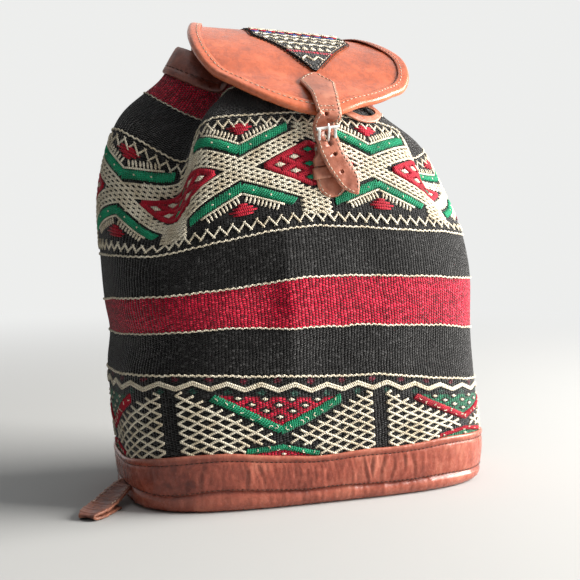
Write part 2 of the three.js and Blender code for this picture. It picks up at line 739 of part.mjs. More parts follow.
// Leather folded round the bar, sewn down, with a slot for the prong's eye; it runs back to -length
function foldedEnd(wire, leather, width, length) {
  const inside = loopInside(wire);
  const outside = loopOutside(wire, leather);
  const lap = 2.4 * outside;
  const profile = new THREE.Shape();
  profile.moveTo(-length, -outside);
  profile.lineTo(0, -outside);
  profile.absarc(0, 0, outside, -Math.PI / 2, Math.PI / 2, false);
  profile.lineTo(-outside, outside);
  profile.lineTo(-lap, -inside + leather);
  profile.lineTo(-lap - outside, -inside + leather);
  profile.lineTo(-lap - outside, -inside);
  profile.lineTo(-length, -inside);
  profile.holes.push(new THREE.Path().absarc(0, 0, inside, 0, 2 * Math.PI));
  const body = extrude(profile, width)
    .translate(0, 0, -width / 2)
    .applyMatrix4(
      new THREE.Matrix4().makeBasis(
        new THREE.Vector3(0, 1, 0),
        new THREE.Vector3(0, 0, 1),
        new THREE.Vector3(1, 0, 0),
      ),
    );
  const slotWidth = PRONG_WIRE + 4 * FIT;
  const slot = new THREE.BoxGeometry(slotWidth, 2.4 * outside, 3 * outside);
  return cut(body, slot);
}

// Closure on the front, turned a little to the right, its height taken from the stripe under the flap's edge
const closureHeight = upperPatternTop - CLOSURE_DROP;
const closureTurn = turnAtX(CLOSURE_X, closureHeight, true);
const closureOut = clothNormal(closureTurn, closureHeight);
const closureSeat = loopOutside(CLOSURE_WIRE, LEATHER) + FIT;
const closureUp = new THREE.Vector3(0, 0, 1).projectOnPlane(closureOut).normalize();
closureUp.applyAxisAngle(closureOut, rad(CLOSURE_TILT));
const closurePlace = cloth(closureTurn, closureHeight, closureSeat);
closurePlace.addScaledVector(closureUp, TAB_LENGTH / 2);
const closure = buckleGroup(closurePlace, closureUp, closureOut);
const strapInside = loopOutside(CLOSURE_WIRE, LEATHER) + FIT;
const closureRise = strapInside + STRAP_LEATHER + FIT + CLOSURE_WIRE / 2;
const closureInside = STRAP_WIDTH + 3;

const closureFrame = buckleFrame(CLOSURE_WIRE, closureInside, CLOSURE_FRAME_LENGTH, closureRise);
piece("closure_frame", closureFrame, steel, closure);
piece("closure_prong", buckleProng(CLOSURE_WIRE, CLOSURE_FRAME_LENGTH, closureRise), steel, closure);

const tabOutline = new THREE.Shape();
const tabHalf = TAB_WIDTH / 2;
const barHalf = closureInside / 2 - CLOSURE_WIRE / 2 - FIT;
tabOutline.moveTo(-barHalf, TAB_WIDTH);
tabOutline.lineTo(-barHalf, -loopOutside(CLOSURE_WIRE, LEATHER));
tabOutline.lineTo(-tabHalf, -2 * loopOutside(CLOSURE_WIRE, LEATHER));
tabOutline.lineTo(-tabHalf, -TAB_LENGTH + tabHalf);
tabOutline.absarc(0, -TAB_LENGTH + tabHalf, tabHalf, Math.PI, 2 * Math.PI, false);
tabOutline.lineTo(tabHalf, -2 * loopOutside(CLOSURE_WIRE, LEATHER));
tabOutline.lineTo(barHalf, -loopOutside(CLOSURE_WIRE, LEATHER));
tabOutline.lineTo(barHalf, TAB_WIDTH);
const tabBlank = foldedEnd(CLOSURE_WIRE, LEATHER, TAB_WIDTH, TAB_LENGTH + FIT);
const tabPrism = extrude(tabOutline, 8 * LEATHER, 8).translate(0, 0, -4 * LEATHER);
piece("closure_tab", common(tabBlank, tabPrism), strapLeather, closure);

// Keeper over the tab
const keeperTop = -3.6 * loopOutside(CLOSURE_WIRE, LEATHER);
const tabBack = -loopOutside(CLOSURE_WIRE, LEATHER);
const tabFront = -loopInside(CLOSURE_WIRE);
const keeperSheet = LEATHER * 0.7;
const keeperInside = tabHalf + FIT;
const keeperShape = polygon([
  [-keeperInside - keeperSheet, tabBack],
  [-keeperInside, tabBack],
  [-keeperInside, tabFront + FIT],
  [keeperInside, tabFront + FIT],
  [keeperInside, tabBack],
  [keeperInside + keeperSheet, tabBack],
  [keeperInside + keeperSheet, tabFront + FIT + keeperSheet],
  [-keeperInside - keeperSheet, tabFront + FIT + keeperSheet],
]);
const keeper = extrude(keeperShape, KEEPER_HEIGHT).rotateX(Math.PI / 2).translate(0, keeperTop, 0);
piece("closure_keeper", keeper, strapLeather, closure);

// Closing strap: shield sewn on the flap, over its edge, behind the frame's far side and over the bar
const strapHalf = STRAP_WIDTH / 2;
const strapThick = STRAP_LEATHER / 2;
const onFlap = (x, along, gap, half) => ({
  middle: flapFace(x, along, FLAP_LEATHER / 2 + gap + strapThick),
  half: new THREE.Vector3(half, 0, 0),
});
const inClosure = (x, y, z, half, skew = 0) => ({
  middle: closure.localToWorld(new THREE.Vector3(x, y, z + strapThick)),
  half: new THREE.Vector3(Math.cos(rad(skew)), Math.sin(rad(skew)), 0)
    .transformDirection(closure.matrix)
    .multiplyScalar(half),
});
const edgeGap = 5 * FIT + BINDING_LEATHER;
const tip = { x: strapHalf * 1.9, y: -TAB_LENGTH, z: tabFront + keeperSheet + 3 * FIT };
const strapStations = [
  onFlap(2.5, STRAP_POINT, 2 * FIT, 2),
  onFlap(1.5, STRAP_POINT + SHIELD_WIDTH / 4, 2 * FIT, SHIELD_WIDTH / 3),
  onFlap(1, STRAP_POINT + SHIELD_WIDTH / 2, 2 * FIT, SHIELD_WIDTH / 2),
  onFlap(0.5, flapLength - 3 * BINDING_LAP, 3 * FIT, SHIELD_WIDTH / 2.3),
  onFlap(-0.3, flapLength - 1.5 * BINDING_LAP, edgeGap + FIT, SHIELD_WIDTH / 2.6),
  onFlap(-0.5, flapLength - BINDING_LAP / 2, edgeGap + FIT, strapHalf * 1.12),
  onFlap(-0.3, flapLength + BINDING_LAP / 3, edgeGap + 4 * FIT, strapHalf * 1.06),
  inClosure(0, CLOSURE_FRAME_LENGTH + 2 * CLOSURE_WIRE, strapInside + 5 * FIT, strapHalf),
  inClosure(0, CLOSURE_FRAME_LENGTH, strapInside, strapHalf),
  inClosure(0, CLOSURE_FRAME_LENGTH / 2, strapInside, strapHalf),
  inClosure(0, 0, strapInside, strapHalf, 8),
  inClosure(strapHalf * 0.3, -TAB_LENGTH / 4, strapInside * 0.9, strapHalf, 20),
  inClosure(strapHalf * 0.85, -TAB_LENGTH / 2, strapInside * 0.7, strapHalf, 24),
  inClosure(strapHalf * 1.5, -TAB_LENGTH * 0.8, strapInside * 0.5, strapHalf, 24),
  inClosure(tip.x, tip.y, tip.z, 2, 24),
];

// Half thickness vectors from the run of a strip's middle line
function thicken(stations, thickness, outward) {
  return stations.map((s, i) => {
    const before = stations[Math.max(i - 1, 0)].middle;
    const after = stations[Math.min(i + 1, stations.length - 1)].middle;
    const thick = after.clone().sub(before).cross(s.half).normalize().multiplyScalar(thickness / 2);
    if (outward && thick.dot(outward) < 0) thick.negate();
    return { ...s, thick };
  });
}

const strapHoles = [0, -1, -2].map((k) => {
  const y = CLOSURE_FRAME_LENGTH * 0.52 + k * HOLE_PITCH;
  const x = k < 0 ? strapHalf * 0.42 * -k - 1 : 0;
  const through = 4 * STRAP_LEATHER + TAB_WIDTH / 2;
  return new THREE.CylinderGeometry(HOLE_DIAMETER / 2, HOLE_DIAMETER / 2, through, 10)
    .rotateX(Math.PI / 2)
    .scale(1, k === 0 ? 2.8 : 1, 1)
    .translate(x, y, strapInside + STRAP_LEATHER)
    .applyMatrix4(closure.matrix);
});
const strapBlank = strip(thicken(strapStations, STRAP_LEATHER, closureOut));
piece("closure_strap", cut(strapBlank, ...strapHoles), strapLeather);

// Shoulder straps on the back
const shoulderLoop = loopOutside(SHOULDER_WIRE, LEATHER);
for (const [side, sign] of [
  ["left", -1],
  ["right", 1],
]) {
  const topX = clothFace(90, patchTop).x + (sign * SHOULDER_SPACING) / 2;
  const lowX = topX + sign * SHOULDER_SPLAY;
  const onBack = (x, height, out) => cloth(turnAtX(x, height, false), height, out);
  const seat = shoulderLoop + 4 * FIT + LEATHER;
  const turn = turnAtX(lowX, SHOULDER_BUCKLE_HEIGHT, false);
  const out = clothNormal(turn, SHOULDER_BUCKLE_HEIGHT);
  const hang = new THREE.Vector3(0, 0, -1).projectOnPlane(out).normalize();
  const buckle = buckleGroup(cloth(turn, SHOULDER_BUCKLE_HEIGHT, seat), hang, out);
  const inside = SHOULDER_WIDTH + 3;
  const frame = buckleFrame(SHOULDER_WIRE, inside, SHOULDER_FRAME_LENGTH, 0);
  piece(`strap_frame_${side}`, frame, steel, buckle);
  piece(`strap_prong_${side}`, buckleProng(SHOULDER_WIRE, SHOULDER_FRAME_LENGTH, 0), steel, buckle);

  // Upper strap: sewn on the patch, down the back, its end folded round the buckle's bar
  const overPatch = 4 * FIT + LEATHER;
  const foldLength = 4 * shoulderLoop;
  const strapTop = patchTop - 4 * FIT;
  const strapLow = SHOULDER_BUCKLE_HEIGHT + 2 * foldLength;
  const heights = [strapTop, ...clothHeights.filter((h) => h > strapLow && h < strapTop - FIT).reverse()];
  const across = steps(4, -SHOULDER_WIDTH / 2, SHOULDER_WIDTH / 2);
  const strapFace = (lift) => [
    ...heights.map((height, i) => {
      const x = THREE.MathUtils.lerp(topX, lowX, i / heights.length);
      return across.map((step) => onBack(x + step, height, overPatch + lift));
    }),
    ...[foldLength + 1.3 * KEEPER_HEIGHT, foldLength / 2].map((y) =>
      across.map((step) => buckle.localToWorld(new THREE.Vector3(step, -y, lift - shoulderLoop))),
    ),
  ];
  const fold = foldedEnd(SHOULDER_WIRE, LEATHER, SHOULDER_WIDTH, foldLength).applyMatrix4(buckle.matrix);
  piece(`strap_upper_${side}`, join(shell(strapFace(LEATHER), strapFace(0)), fold), strapLeather);

  // Keeper round the strap above the buckle, with room for the strap's end
  const room = LEATHER + 2 * FIT;
  const sheet = LEATHER * 0.7;
  const back = -shoulderLoop - FIT;
  const front = -loopInside(SHOULDER_WIRE) + room;
  const wide = SHOULDER_WIDTH / 2 + 2 * FIT;
  const ring = polygon([
    [-wide - sheet, back - sheet],
    [wide + sheet, back - sheet],
    [wide + sheet, front + sheet],
    [-wide - sheet, front + sheet],
  ]);
  ring.holes.push(
    polygon([
      [-wide, back],
      [-wide, front],
      [wide, front],
      [wide, back],
    ]),
  );
  const band = extrude(ring, KEEPER_HEIGHT).rotateX(Math.PI / 2).translate(0, -foldLength, 0);
  piece(`strap_keeper_${side}`, band, strapLeather, buckle);

  // Lower strap: from the side of the base out over the floor, its end folded under
  const headed = rad(LOWER_STRAP_HEADING);
  const heading = new THREE.Vector3(sign * Math.cos(headed), sign * Math.sin(headed), 0);
  const square = new THREE.Vector3(-heading.y, heading.x, 0);
  const sideTurn = sign < 0 ? 180 : 0;
  const lowerY = sign < 0 ? LOWER_STRAP_LEFT_Y : LOWER_STRAP_RIGHT_Y;
  const reach = cloth(sideTurn, SEAM_HEIGHT, FIT + LEATHER).x + sign * FIT;
  const floor = LEATHER / 2 + FIT;
  const upper = floor + LEATHER + 3 * FIT;
  const lowerPoint = (along, z) => new THREE.Vector3(reach, lowerY, z).addScaledVector(heading, along);
  const halfSquare = square.clone().multiplyScalar(SHOULDER_WIDTH / 2);
  const skewed = halfSquare.clone().addScaledVector(heading, -halfSquare.x / heading.x);
  const lowerStations = [
    { middle: lowerPoint(0, SEAM_HEIGHT - LEATHER), half: skewed },
    { middle: lowerPoint(LOWER_STRAP_LENGTH * 0.35, upper + LEATHER / 2), half: halfSquare },
    { middle: lowerPoint(LOWER_STRAP_LENGTH * 0.65, upper), half: halfSquare },
    { middle: lowerPoint(LOWER_STRAP_LENGTH - upper, upper), half: halfSquare },
    { middle: lowerPoint(LOWER_STRAP_LENGTH, (upper + floor) / 2), half: halfSquare },
    { middle: lowerPoint(LOWER_STRAP_LENGTH - upper, floor), half: halfSquare },
    { middle: lowerPoint(LOWER_STRAP_LENGTH - LOWER_STRAP_FOLD, floor), half: halfSquare },
  ];
  piece(`strap_lower_${side}`, strip(thicken(lowerStations, LEATHER)), strapLeather);
}

export default bag;
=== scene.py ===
# Kilim backpack with leather base, flap and straps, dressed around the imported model.
# The shape code works in millimetres and each mesh is written in metres.
import json
import math
import bpy
import numpy as np
from mathutils import Matrix, Vector

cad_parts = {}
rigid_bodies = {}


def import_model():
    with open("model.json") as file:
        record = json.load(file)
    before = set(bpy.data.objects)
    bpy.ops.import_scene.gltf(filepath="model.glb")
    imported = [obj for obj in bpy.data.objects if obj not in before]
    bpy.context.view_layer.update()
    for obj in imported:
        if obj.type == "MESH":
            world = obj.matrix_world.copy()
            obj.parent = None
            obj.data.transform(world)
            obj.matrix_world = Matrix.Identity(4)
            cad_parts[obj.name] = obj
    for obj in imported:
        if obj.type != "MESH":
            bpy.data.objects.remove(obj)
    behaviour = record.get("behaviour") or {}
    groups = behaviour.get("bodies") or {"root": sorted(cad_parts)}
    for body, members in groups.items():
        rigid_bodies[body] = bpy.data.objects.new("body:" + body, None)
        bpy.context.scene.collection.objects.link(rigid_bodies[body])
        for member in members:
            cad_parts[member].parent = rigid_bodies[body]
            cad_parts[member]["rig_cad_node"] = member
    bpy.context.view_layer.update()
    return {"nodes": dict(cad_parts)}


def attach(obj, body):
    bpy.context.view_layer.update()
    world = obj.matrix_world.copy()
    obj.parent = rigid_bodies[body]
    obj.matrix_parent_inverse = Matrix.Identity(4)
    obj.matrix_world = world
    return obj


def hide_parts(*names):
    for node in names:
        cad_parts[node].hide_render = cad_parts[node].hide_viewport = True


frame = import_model()
bpy.ops.object.select_all(action="DESELECT")
scene = bpy.context.scene
scene.view_settings.view_transform = "Standard"
chance = np.random.default_rng(11)
print("frame loaded")

# camera: front left of the bag, a little above its middle, looking slightly down
cameraSet = {"place": (-0.2791, -0.7518, 0.215), "aim": (0.3416, 0.9384, -0.0523), "lens": 62.69,
             "sensor": 36, "shift": (-0.0055, -0.0464)}
cameraData = bpy.data.cameras.new("bag_camera")
cameraData.lens = cameraSet["lens"]
cameraData.sensor_width = cameraSet["sensor"]
cameraData.shift_x, cameraData.shift_y = cameraSet["shift"]
cameraObject = bpy.data.objects.new("bag_camera", cameraData)
scene.collection.objects.link(cameraObject)
cameraObject.location = cameraSet["place"]
cameraObject.rotation_euler = Vector(cameraSet["aim"]).to_track_quat("-Z", "Y").to_euler()
scene.camera = cameraObject

# stuffed shape of the cloth, the same stations as the CAD body
# a crease: turn, depth, dip, spread before and after it, opening at the mouth,
#   heights where it starts and is full
# a dent: turn, height, spread round the bag and upward, depth
bagForm = {
    "height": [0, 10, 43, 97, 131, 163, 200, 244, 288, 329, 351, 375, 399],
    "left": [138, 140, 143.5, 150, 148.5, 152.5, 156, 159, 149, 126, 110, 95, 81],
    "right": [143, 144, 145, 141, 138, 136, 133, 125, 110, 85, 73, 62, 52],
    "front": [68, 73, 75, 77, 77.5, 77.5, 77, 73, 65, 42, 28, 13, 0],
    "back": [68, 72, 74, 75, 75, 75, 74, 72, 69, 65, 60, 53, 44],
    "leftDrop": [0, 0, 7, 1, 7, 16, 18, 13, 11, 18, 24, 29, 36],
    "rightDrop": [0, 0, 6, 17, 13, 4, 7, 11, 19, 26, 31, 37, 45],
    "frontDrop": [0, 0, 1, 0, 0, 0, 0, 0, 2, 25, 34, 45, 57],
    "backDrop": [0, 0, 3, 7, 7, 7, 8, 6, 6, 9, 15, 28, 44],
    "square": [3.4, 3.4, 3.4, 3.2, 3, 2.9, 2.7, 2.45, 2.3, 2.2, 2.2, 2.2, 2.2],
    "creases": [(204.5, 20.5, 28, 8.8, 6.4, 0.8, 180, 272), (338, 15, 17, 5.5, 11, 0.8, 196, 280),
                (155, 20, 20, 11, 11, 0, 200, 288), (25, 13, 13, 11, 11, 0, 200, 288)],
    "ripple": 1.6, "ripples": 9,
    "ridge": {"turn": 249.5, "level": 150, "tall": 50, "wide": 24, "rise": 7, "round": 1.5},
    "dents": [(239, 152, 8, 11, 4.5), (322, 118, 9, 16, 3.5), (196, 120, 9, 13, 3), (262, 112, 13, 10, 1.6),
              (296, 178, 10, 14, 2), (222, 182, 9, 10, 2.2), (344, 168, 8, 18, -2.2)],
}
formNames = ["left", "right", "front", "back", "leftDrop", "rightDrop", "frontDrop", "backDrop", "square"]
formHeights = np.array(bagForm["height"], float)
formRows = np.array([bagForm[name] for name in formNames], float).T


def alike(*values):
    return np.broadcast_arrays(*(np.asarray(value, float) for value in values))


def unit(vectors):
    return vectors / np.maximum(np.linalg.norm(vectors, axis=-1, keepdims=True), 1e-9)


def arcLength(points):
    return np.concatenate([[0], np.cumsum(np.linalg.norm(np.diff(points, axis=0), axis=1))])


def smoothStep(x, low, high):
    t = np.clip((np.asarray(x, float) - low) / (high - low), 0, 1)
    return t * t * (3 - 2 * t)


# smooth curve through rows of any numbers that stand at the given places
def smoothThrough(places, rows, at):
    slope = np.empty_like(rows)
    slope[1:-1] = (rows[2:] - rows[:-2]) / (places[2:] - places[:-2])[:, None]
    slope[0] = (rows[1] - rows[0]) / (places[1] - places[0])
    slope[-1] = (rows[-1] - rows[-2]) / (places[-1] - places[-2])
    k = np.clip(np.searchsorted(places, at, side="right") - 1, 0, len(places) - 2)
    span = (places[k + 1] - places[k])[..., None]
    f = (at - places[k])[..., None] / span
    ff, fff = f * f, f * f * f
    start, end = rows[k], rows[k + 1]
    leave, arrive = slope[k] * span, slope[k + 1] * span
    return start + (3 * ff - 2 * fff) * (end - start) + (fff - 2 * ff + f) * leave + (fff - ff) * arrive


# rows at even steps along their stations, each a place and any further numbers
def smoothRows(rows, count):
    rows = np.asarray(rows, float)
    chord = arcLength(rows[:, :3])
    return smoothThrough(chord, rows, np.linspace(0, chord[-1], count))


def turnsFrom(turn, middle):
    return (turn - middle + 180) % 360 - 180


def clothFace(turn, height):
    turn, height = alike(turn, height)
    stations = np.moveaxis(smoothThrough(formHeights, formRows, height), -1, 0)
    left, right, front, back, leftDrop, rightDrop, frontDrop, backDrop, square = stations
    c, s = np.cos(np.radians(turn)), np.sin(np.radians(turn))
    wide, deep = (left + right) / 2, (front + back) / 2
    radius = (np.abs(c / wide) ** square + np.abs(s / deep) ** square) ** (-1 / square)
    drop = c * c * np.where(c < 0, leftDrop, rightDrop) + s * s * np.where(s < 0, frontDrop, backDrop)
    slack = 1 - 0.45 * smoothStep(height, 329, 375)
    for middle, depth, dip, before, after, opening, low, high in bagForm["creases"]:
        away = turnsFrom(turn, middle)
        spread = np.where(away < 0, before, after) * (1 + opening * smoothStep(height, 288, 351))
        fold = slack * smoothStep(height, low, high) * np.exp(-0.5 * (away / spread) ** 2)
        radius = radius - depth * fold
        drop = drop + dip * fold
    for middle, level, wide, tall, depth in bagForm["dents"]:
        away = turnsFrom(turn, middle) / wide
        radius = radius - depth * np.exp(-0.5 * (away ** 2 + ((height - level) / tall) ** 2))
    ridge = bagForm["ridge"]
    away = np.sqrt(turnsFrom(turn, ridge["turn"]) ** 2 + ridge["round"] ** 2) / ridge["wide"]
    radius = radius + ridge["rise"] * np.exp(-away - 0.5 * ((height - ridge["level"]) / ridge["tall"]) ** 2)
    pucker = smoothStep(height, 288, 351)
    radius = radius - bagForm["ripple"] * pucker * (1 + np.cos(bagForm["ripples"] * np.radians(turn)))
    return np.stack([(right - left) / 2 + radius * c, (back - front) / 2 + radius * s, height - drop], -1)


def clothNormal(turn, height):
    across = clothFace(turn + 0.5, height) - clothFace(turn - 0.5, height)
    upward = clothFace(turn, height + 0.5) - clothFace(turn, height - 0.5)
    return unit(np.cross(across, upward))


def cloth(turn, height, out=0.0):
    turn, height = alike(turn, height)
    return clothFace(turn, height) + clothNormal(turn, height) * np.asarray(out, float)[..., None]


def turnAtX(x, height, onFront):
    x, height = alike(x, height)
    low = np.full(x.shape, 181.0 if onFront else 179.0)
    high = np.full(x.shape, 359.0 if onFront else 1.0)
    for _ in range(40):
        middle = (low + high) / 2
        less = clothFace(middle, height)[..., 0] < x
        low, high = np.where(less, middle, low), np.where(less, high, middle)
    return (low + high) / 2


# distance round the bag at one height, zero at the middle of the front, growing to the right
def roundMap(height):
    turns = np.linspace(90, 450, 1441)
    points = clothFace(turns, height)
    along = arcLength(points)
    middle = np.interp(0, points[480:960, 0], along[480:960])
    return along - middle, turns


def waves(u, seed, lengths=(23, 13.7, 8.3, 5.1)):
    phases = np.random.default_rng(seed).uniform(0, 6.28, len(lengths))
    swings = (np.sin(2 * np.pi * u / length + phase) for length, phase in zip(lengths, phases))
    return sum(swings) / len(lengths)


# how far each line of the weave wanders up or down at a turn: hand weaving and a bag that slumps
wander = {
    41: [(172, 0), (189, 0.5), (199, 4), (210, 7), (221, 7), (228, 4.5), (235, 2), (246, -0.5), (256, -2.8),
         (268, -3), (290, -0.5), (303, 0), (314, 2), (324, 5.5), (338, 5), (368, 0)],
    97: [(172, 0), (196, 2), (212, 3.6), (228, 1.5), (248, 0), (268, -2), (284, -1.5), (300, 1), (316, 1.5),
         (340, 0), (368, 0)],
    131: [(172, 0), (188, 2), (212, 5), (226, 5.5), (236, 3.5), (246, 1), (276, 0.4), (286, 2), (300, 2.5),
          (322, 4.8), (340, 2.5), (368, 0)],
    163: [(172, 0), (186, 5), (260, 5), (318, 5), (340, 2), (368, 0)],
    200: [(172, 0), (186, 1), (220, 1.5), (237, 3.8), (308, 4), (332, 4.5), (346, 2), (368, 0)],
    288: [(172, 0), (286, -1.5), (300, 2), (316, 4), (328, 2), (345, 0), (368, 0)],
}
wanderHeights = np.array([0] + list(wander) + [400], float)


def smoothLine(points):
    turns, values = np.array(points, float).T
    fine = np.arange(0, 361, 0.5)
    line = np.interp(fine, turns, values)
    soft = np.convolve(np.pad(line, 8, mode="edge"), np.ones(17) / 17, mode="valid")
    return lambda turn: np.interp(np.asarray(turn, float) % 360, fine, soft)


wanderLines = [smoothLine(points) for points in wander.values()]


def woven(turn, height):
    turn, height = alike(turn, height)
    lines = [line(turn) for line in wanderLines]
    shifts = np.stack(lines[:1] + lines + [np.zeros(turn.shape)])
    k = np.clip(np.searchsorted(wanderHeights, height, side="right") - 1, 0, len(wanderHeights) - 2)
    f = np.clip((height - wanderHeights[k]) / (wanderHeights[k + 1] - wanderHeights[k]), 0, 1)
    low, high = (np.take_along_axis(shifts, (k + d)[None], 0)[0] for d in (0, 1))
    return height + low * (1 - f) + high * f


# mesh making
def startPiece():
    if bpy.context.object and bpy.context.object.mode != "OBJECT":
        bpy.ops.object.mode_set(mode="OBJECT")
    bpy.ops.object.select_all(action="DESELECT")


def editAll():
    bpy.ops.object.transform_apply(location=True, rotation=True, scale=True)
    bpy.ops.object.mode_set(mode="EDIT")
    bpy.ops.mesh.select_all(action="SELECT")


# the other object is used up
def combine(piece, other, operation, solver):
    modifier = piece.modifiers.new("combine", "BOOLEAN")
    modifier.operation, modifier.solver, modifier.object = operation, solver, other
    startPiece()
    bpy.context.view_layer.objects.active = piece
    piece.select_set(True)
    bpy.ops.object.modifier_apply(modifier=modifier.name)
    bpy.data.objects.remove(other, do_unlink=True)


def cutHole(piece, cutter):
    combine(piece, cutter, "DIFFERENCE", "MANIFOLD")


def makePiece(name, points, faces, material, body, uv=None, colour=None, wear=None):
    mesh = bpy.data.meshes.new(name)
    points = np.asarray(points, float) * 0.001
    mesh.from_pydata(points.tolist(), [], [list(map(int, face)) for face in faces])
    mesh.polygons.foreach_set("use_smooth", np.full(len(mesh.polygons), True))
    if uv is not None:
        corners = np.empty(len(mesh.loops), np.int32)
        mesh.loops.foreach_get("vertex_index", corners)
        layer = mesh.uv_layers.new(name="run")
        layer.data.foreach_set("uv", np.asarray(uv, np.float32)[corners].ravel())
    if colour is not None:
        layer = mesh.color_attributes.new("wool", "FLOAT_COLOR", "POINT")
        layer.data.foreach_set("color", np.asarray(colour, np.float32).ravel())
    if wear is not None:
        layer = mesh.attributes.new("wear", "FLOAT", "POINT")
        layer.data.foreach_set("value", np.asarray(wear, np.float32).ravel())
    mesh.materials.append(material)
    mesh.validate()
    piece = bpy.data.objects.new(name, mesh)
    scene.collection.objects.link(piece)
    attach(piece, body)
    return piece


def faceOut(points, faces):
    fans = [(face[0], face[i], face[i + 1]) for face in faces for i in range(1, len(face) - 1)]
    triangles = np.array(fans)
    a, b, c = (np.asarray(points, float)[triangles[:, i]] for i in range(3))
    volume = np.einsum("ij,ij->i", a, np.cross(b, c)).sum()
    return [face[::-1] for face in faces] if volume < 0 else faces


# a closed section carried along a path; wraps joins the last section to the first
def loft(name, grid, material, body, wraps=False, wear=None):
    count, sides = grid.shape[:2]
    i = np.arange(count if wraps else count - 1)[:, None]
    j = np.arange(sides)[None, :]
    here, ahead = i * sides, (i + 1) % count * sides
    beside = (j + 1) % sides
    quads = np.stack([here + j, ahead + j, ahead + beside, here + beside], -1).reshape(-1, 4)
    faces = [list(quad) for quad in quads]
    if not wraps:
        faces.append(list(range(sides)))
        faces.append([(count - 1) * sides + k for k in range(sides)][::-1])
    points = grid.reshape(-1, 3)
    along = arcLength(grid.mean(1))
    uv = np.stack([np.repeat(along, sides), np.tile(np.arange(sides) / sides, count)], -1)
    return makePiece(name, points, faceOut(points, faces), material, body, uv=uv, wear=wear)


# a wall between two like grids of points
def wall(name, outer, inner, material, body, uv=None, colour=None, wear=None):
    rows, columns = outer.shape[:2]
    base = np.arange(rows * columns).reshape(rows, columns)
    top = base + rows * columns
    faces = []

    def add(a, b, c, d):
        faces.extend(np.stack([a.ravel(), b.ravel(), c.ravel(), d.ravel()], -1).tolist())

    add(base[:-1, :-1], base[1:, :-1], base[1:, 1:], base[:-1, 1:])
    add(top[:-1, :-1], top[:-1, 1:], top[1:, 1:], top[1:, :-1])
    add(base[1:, 0], base[:-1, 0], top[:-1, 0], top[1:, 0])
    add(base[:-1, -1], base[1:, -1], top[1:, -1], top[:-1, -1])
    add(base[0, :-1], base[0, 1:], top[0, 1:], top[0, :-1])
    add(base[-1, 1:], base[-1, :-1], top[-1, :-1], top[-1, 1:])
    points = np.concatenate([outer.reshape(-1, 3), inner.reshape(-1, 3)])
    faces = faceOut(points, faces)
    double = lambda a: None if a is None else np.concatenate([a, a])
    return makePiece(name, points, faces, material, body, uv=double(uv), colour=double(colour),
                     wear=double(wear))


# yarn laid on a surface: each stroke has points, normals, half widths and half heights
def layYarn(name, strokes, material, body, sides=6):
    allPoints, allFaces, allUv, start = [], [], [], 0
    groups = {}
    for stroke in strokes:
        groups.setdefault(len(stroke[0]), []).append(stroke)
    turn = 2 * np.pi * np.arange(sides) / sides - np.pi / 2
    for n, group in groups.items():
        p = np.array([g[0] for g in group])
        normal = np.array([g[1] for g in group])
        wide = np.array([np.broadcast_to(g[2], n) for g in group])[..., None, None]
        tall = np.array([np.broadcast_to(g[3], n) for g in group])[..., None, None]
        along = unit(np.gradient(p, axis=1))
        side = unit(np.cross(along, normal))
        normal = np.cross(side, along)
        ring = p[:, :, None] + wide * np.cos(turn)[:, None] * side[:, :, None] \
            + tall * np.sin(turn)[:, None] * normal[:, :, None]
        length = np.cumsum(np.linalg.norm(np.diff(p, axis=1), axis=2), 1)
        length = np.concatenate([np.zeros((len(group), 1)), length], 1)
        length = length + chance.uniform(0, 40, (len(group), 1))
        uv = np.stack(np.broadcast_arrays(length[..., None], np.arange(sides) / sides), -1)
        c = np.arange(len(group))[:, None, None] * n * sides + start
        i = np.arange(n - 1)[None, :, None] * sides
        j = np.arange(sides)[None, None, :]
        k = (j + 1) % sides
        corners = np.broadcast_arrays(c + i + j, c + i + sides + j, c + i + sides + k, c + i + k)
        quads = np.stack(corners, -1)
        allFaces.append(quads.reshape(-1, 4))
        first, last = c[:, 0, 0], c[:, 0, 0] + (n - 1) * sides
        for a in range(1, sides - 2, 2):
            ends = [0, a, a + 1, a + 2]
            allFaces.append(np.stack([first + e for e in ends], -1))
            allFaces.append(np.stack([last + e for e in ends[::-1]], -1))
        allPoints.append(ring.reshape(-1, 3))
        allUv.append(uv.reshape(-1, 2))
        start += ring.size // 3
    return makePiece(name, np.concatenate(allPoints), np.concatenate(allFaces).tolist(), material, body,
                     uv=np.concatenate(allUv))


# short stitches along a line on a surface
def stitchRow(points, normals, pitch=3.8, length=2.7, wide=0.42, tall=0.36, skew=0.0):
    along = arcLength(points)
    strokes = []
    for begin in np.arange(0.4, along[-1] - length, pitch):
        at = begin + np.array([0, 0.5, 1]) * length
        p = np.stack([np.interp(at, along, points[:, k]) for k in range(3)], -1)
        normal = unit(np.stack([np.interp(at, along, normals[:, k]) for k in range(3)], -1))
        side = np.cross(p[2] - p[0], normal[1]) / length
        p = p + np.outer([-skew, 0, skew], side)
        strokes.append((p, normal, np.array([0.45, 1, 0.45]) * wide, np.array([0.4, 1, 0.4]) * tall))
    return strokes


def clothStitches(turn, height, out, pitch, length):
    return stitchRow(cloth(turn, height, out), clothNormal(turn, height), pitch, length)


# materials
def newMaterial(name):
    material = bpy.data.materials.new(name)
    material.use_nodes = True
    tree = material.node_tree
    return material, tree, tree.nodes["Principled BSDF"]


# a socket is linked, any other value is set
def feed(tree, socket, value):
    if isinstance(value, bpy.types.NodeSocket):
        tree.links.new(value, socket)
    else:
        socket.default_value = value


def feedInputs(tree, node, inputs):
    for name, value in inputs.items():
        feed(tree, node.inputs[name], value)


def addNode(tree, kind, inputs=None, **settings):
    node = tree.nodes.new("ShaderNode" + kind)
    for key, value in settings.items():
        setattr(node, key, value)
    feedInputs(tree, node, inputs or {})
    return node


def noise(tree, place, scale, detail, rough=0.5, warp=0.0):
    inputs = {"Vector": place, "Scale": scale, "Detail": detail, "Roughness": rough, "Distortion": warp}
    return addNode(tree, "TexNoise", inputs).outputs[0]


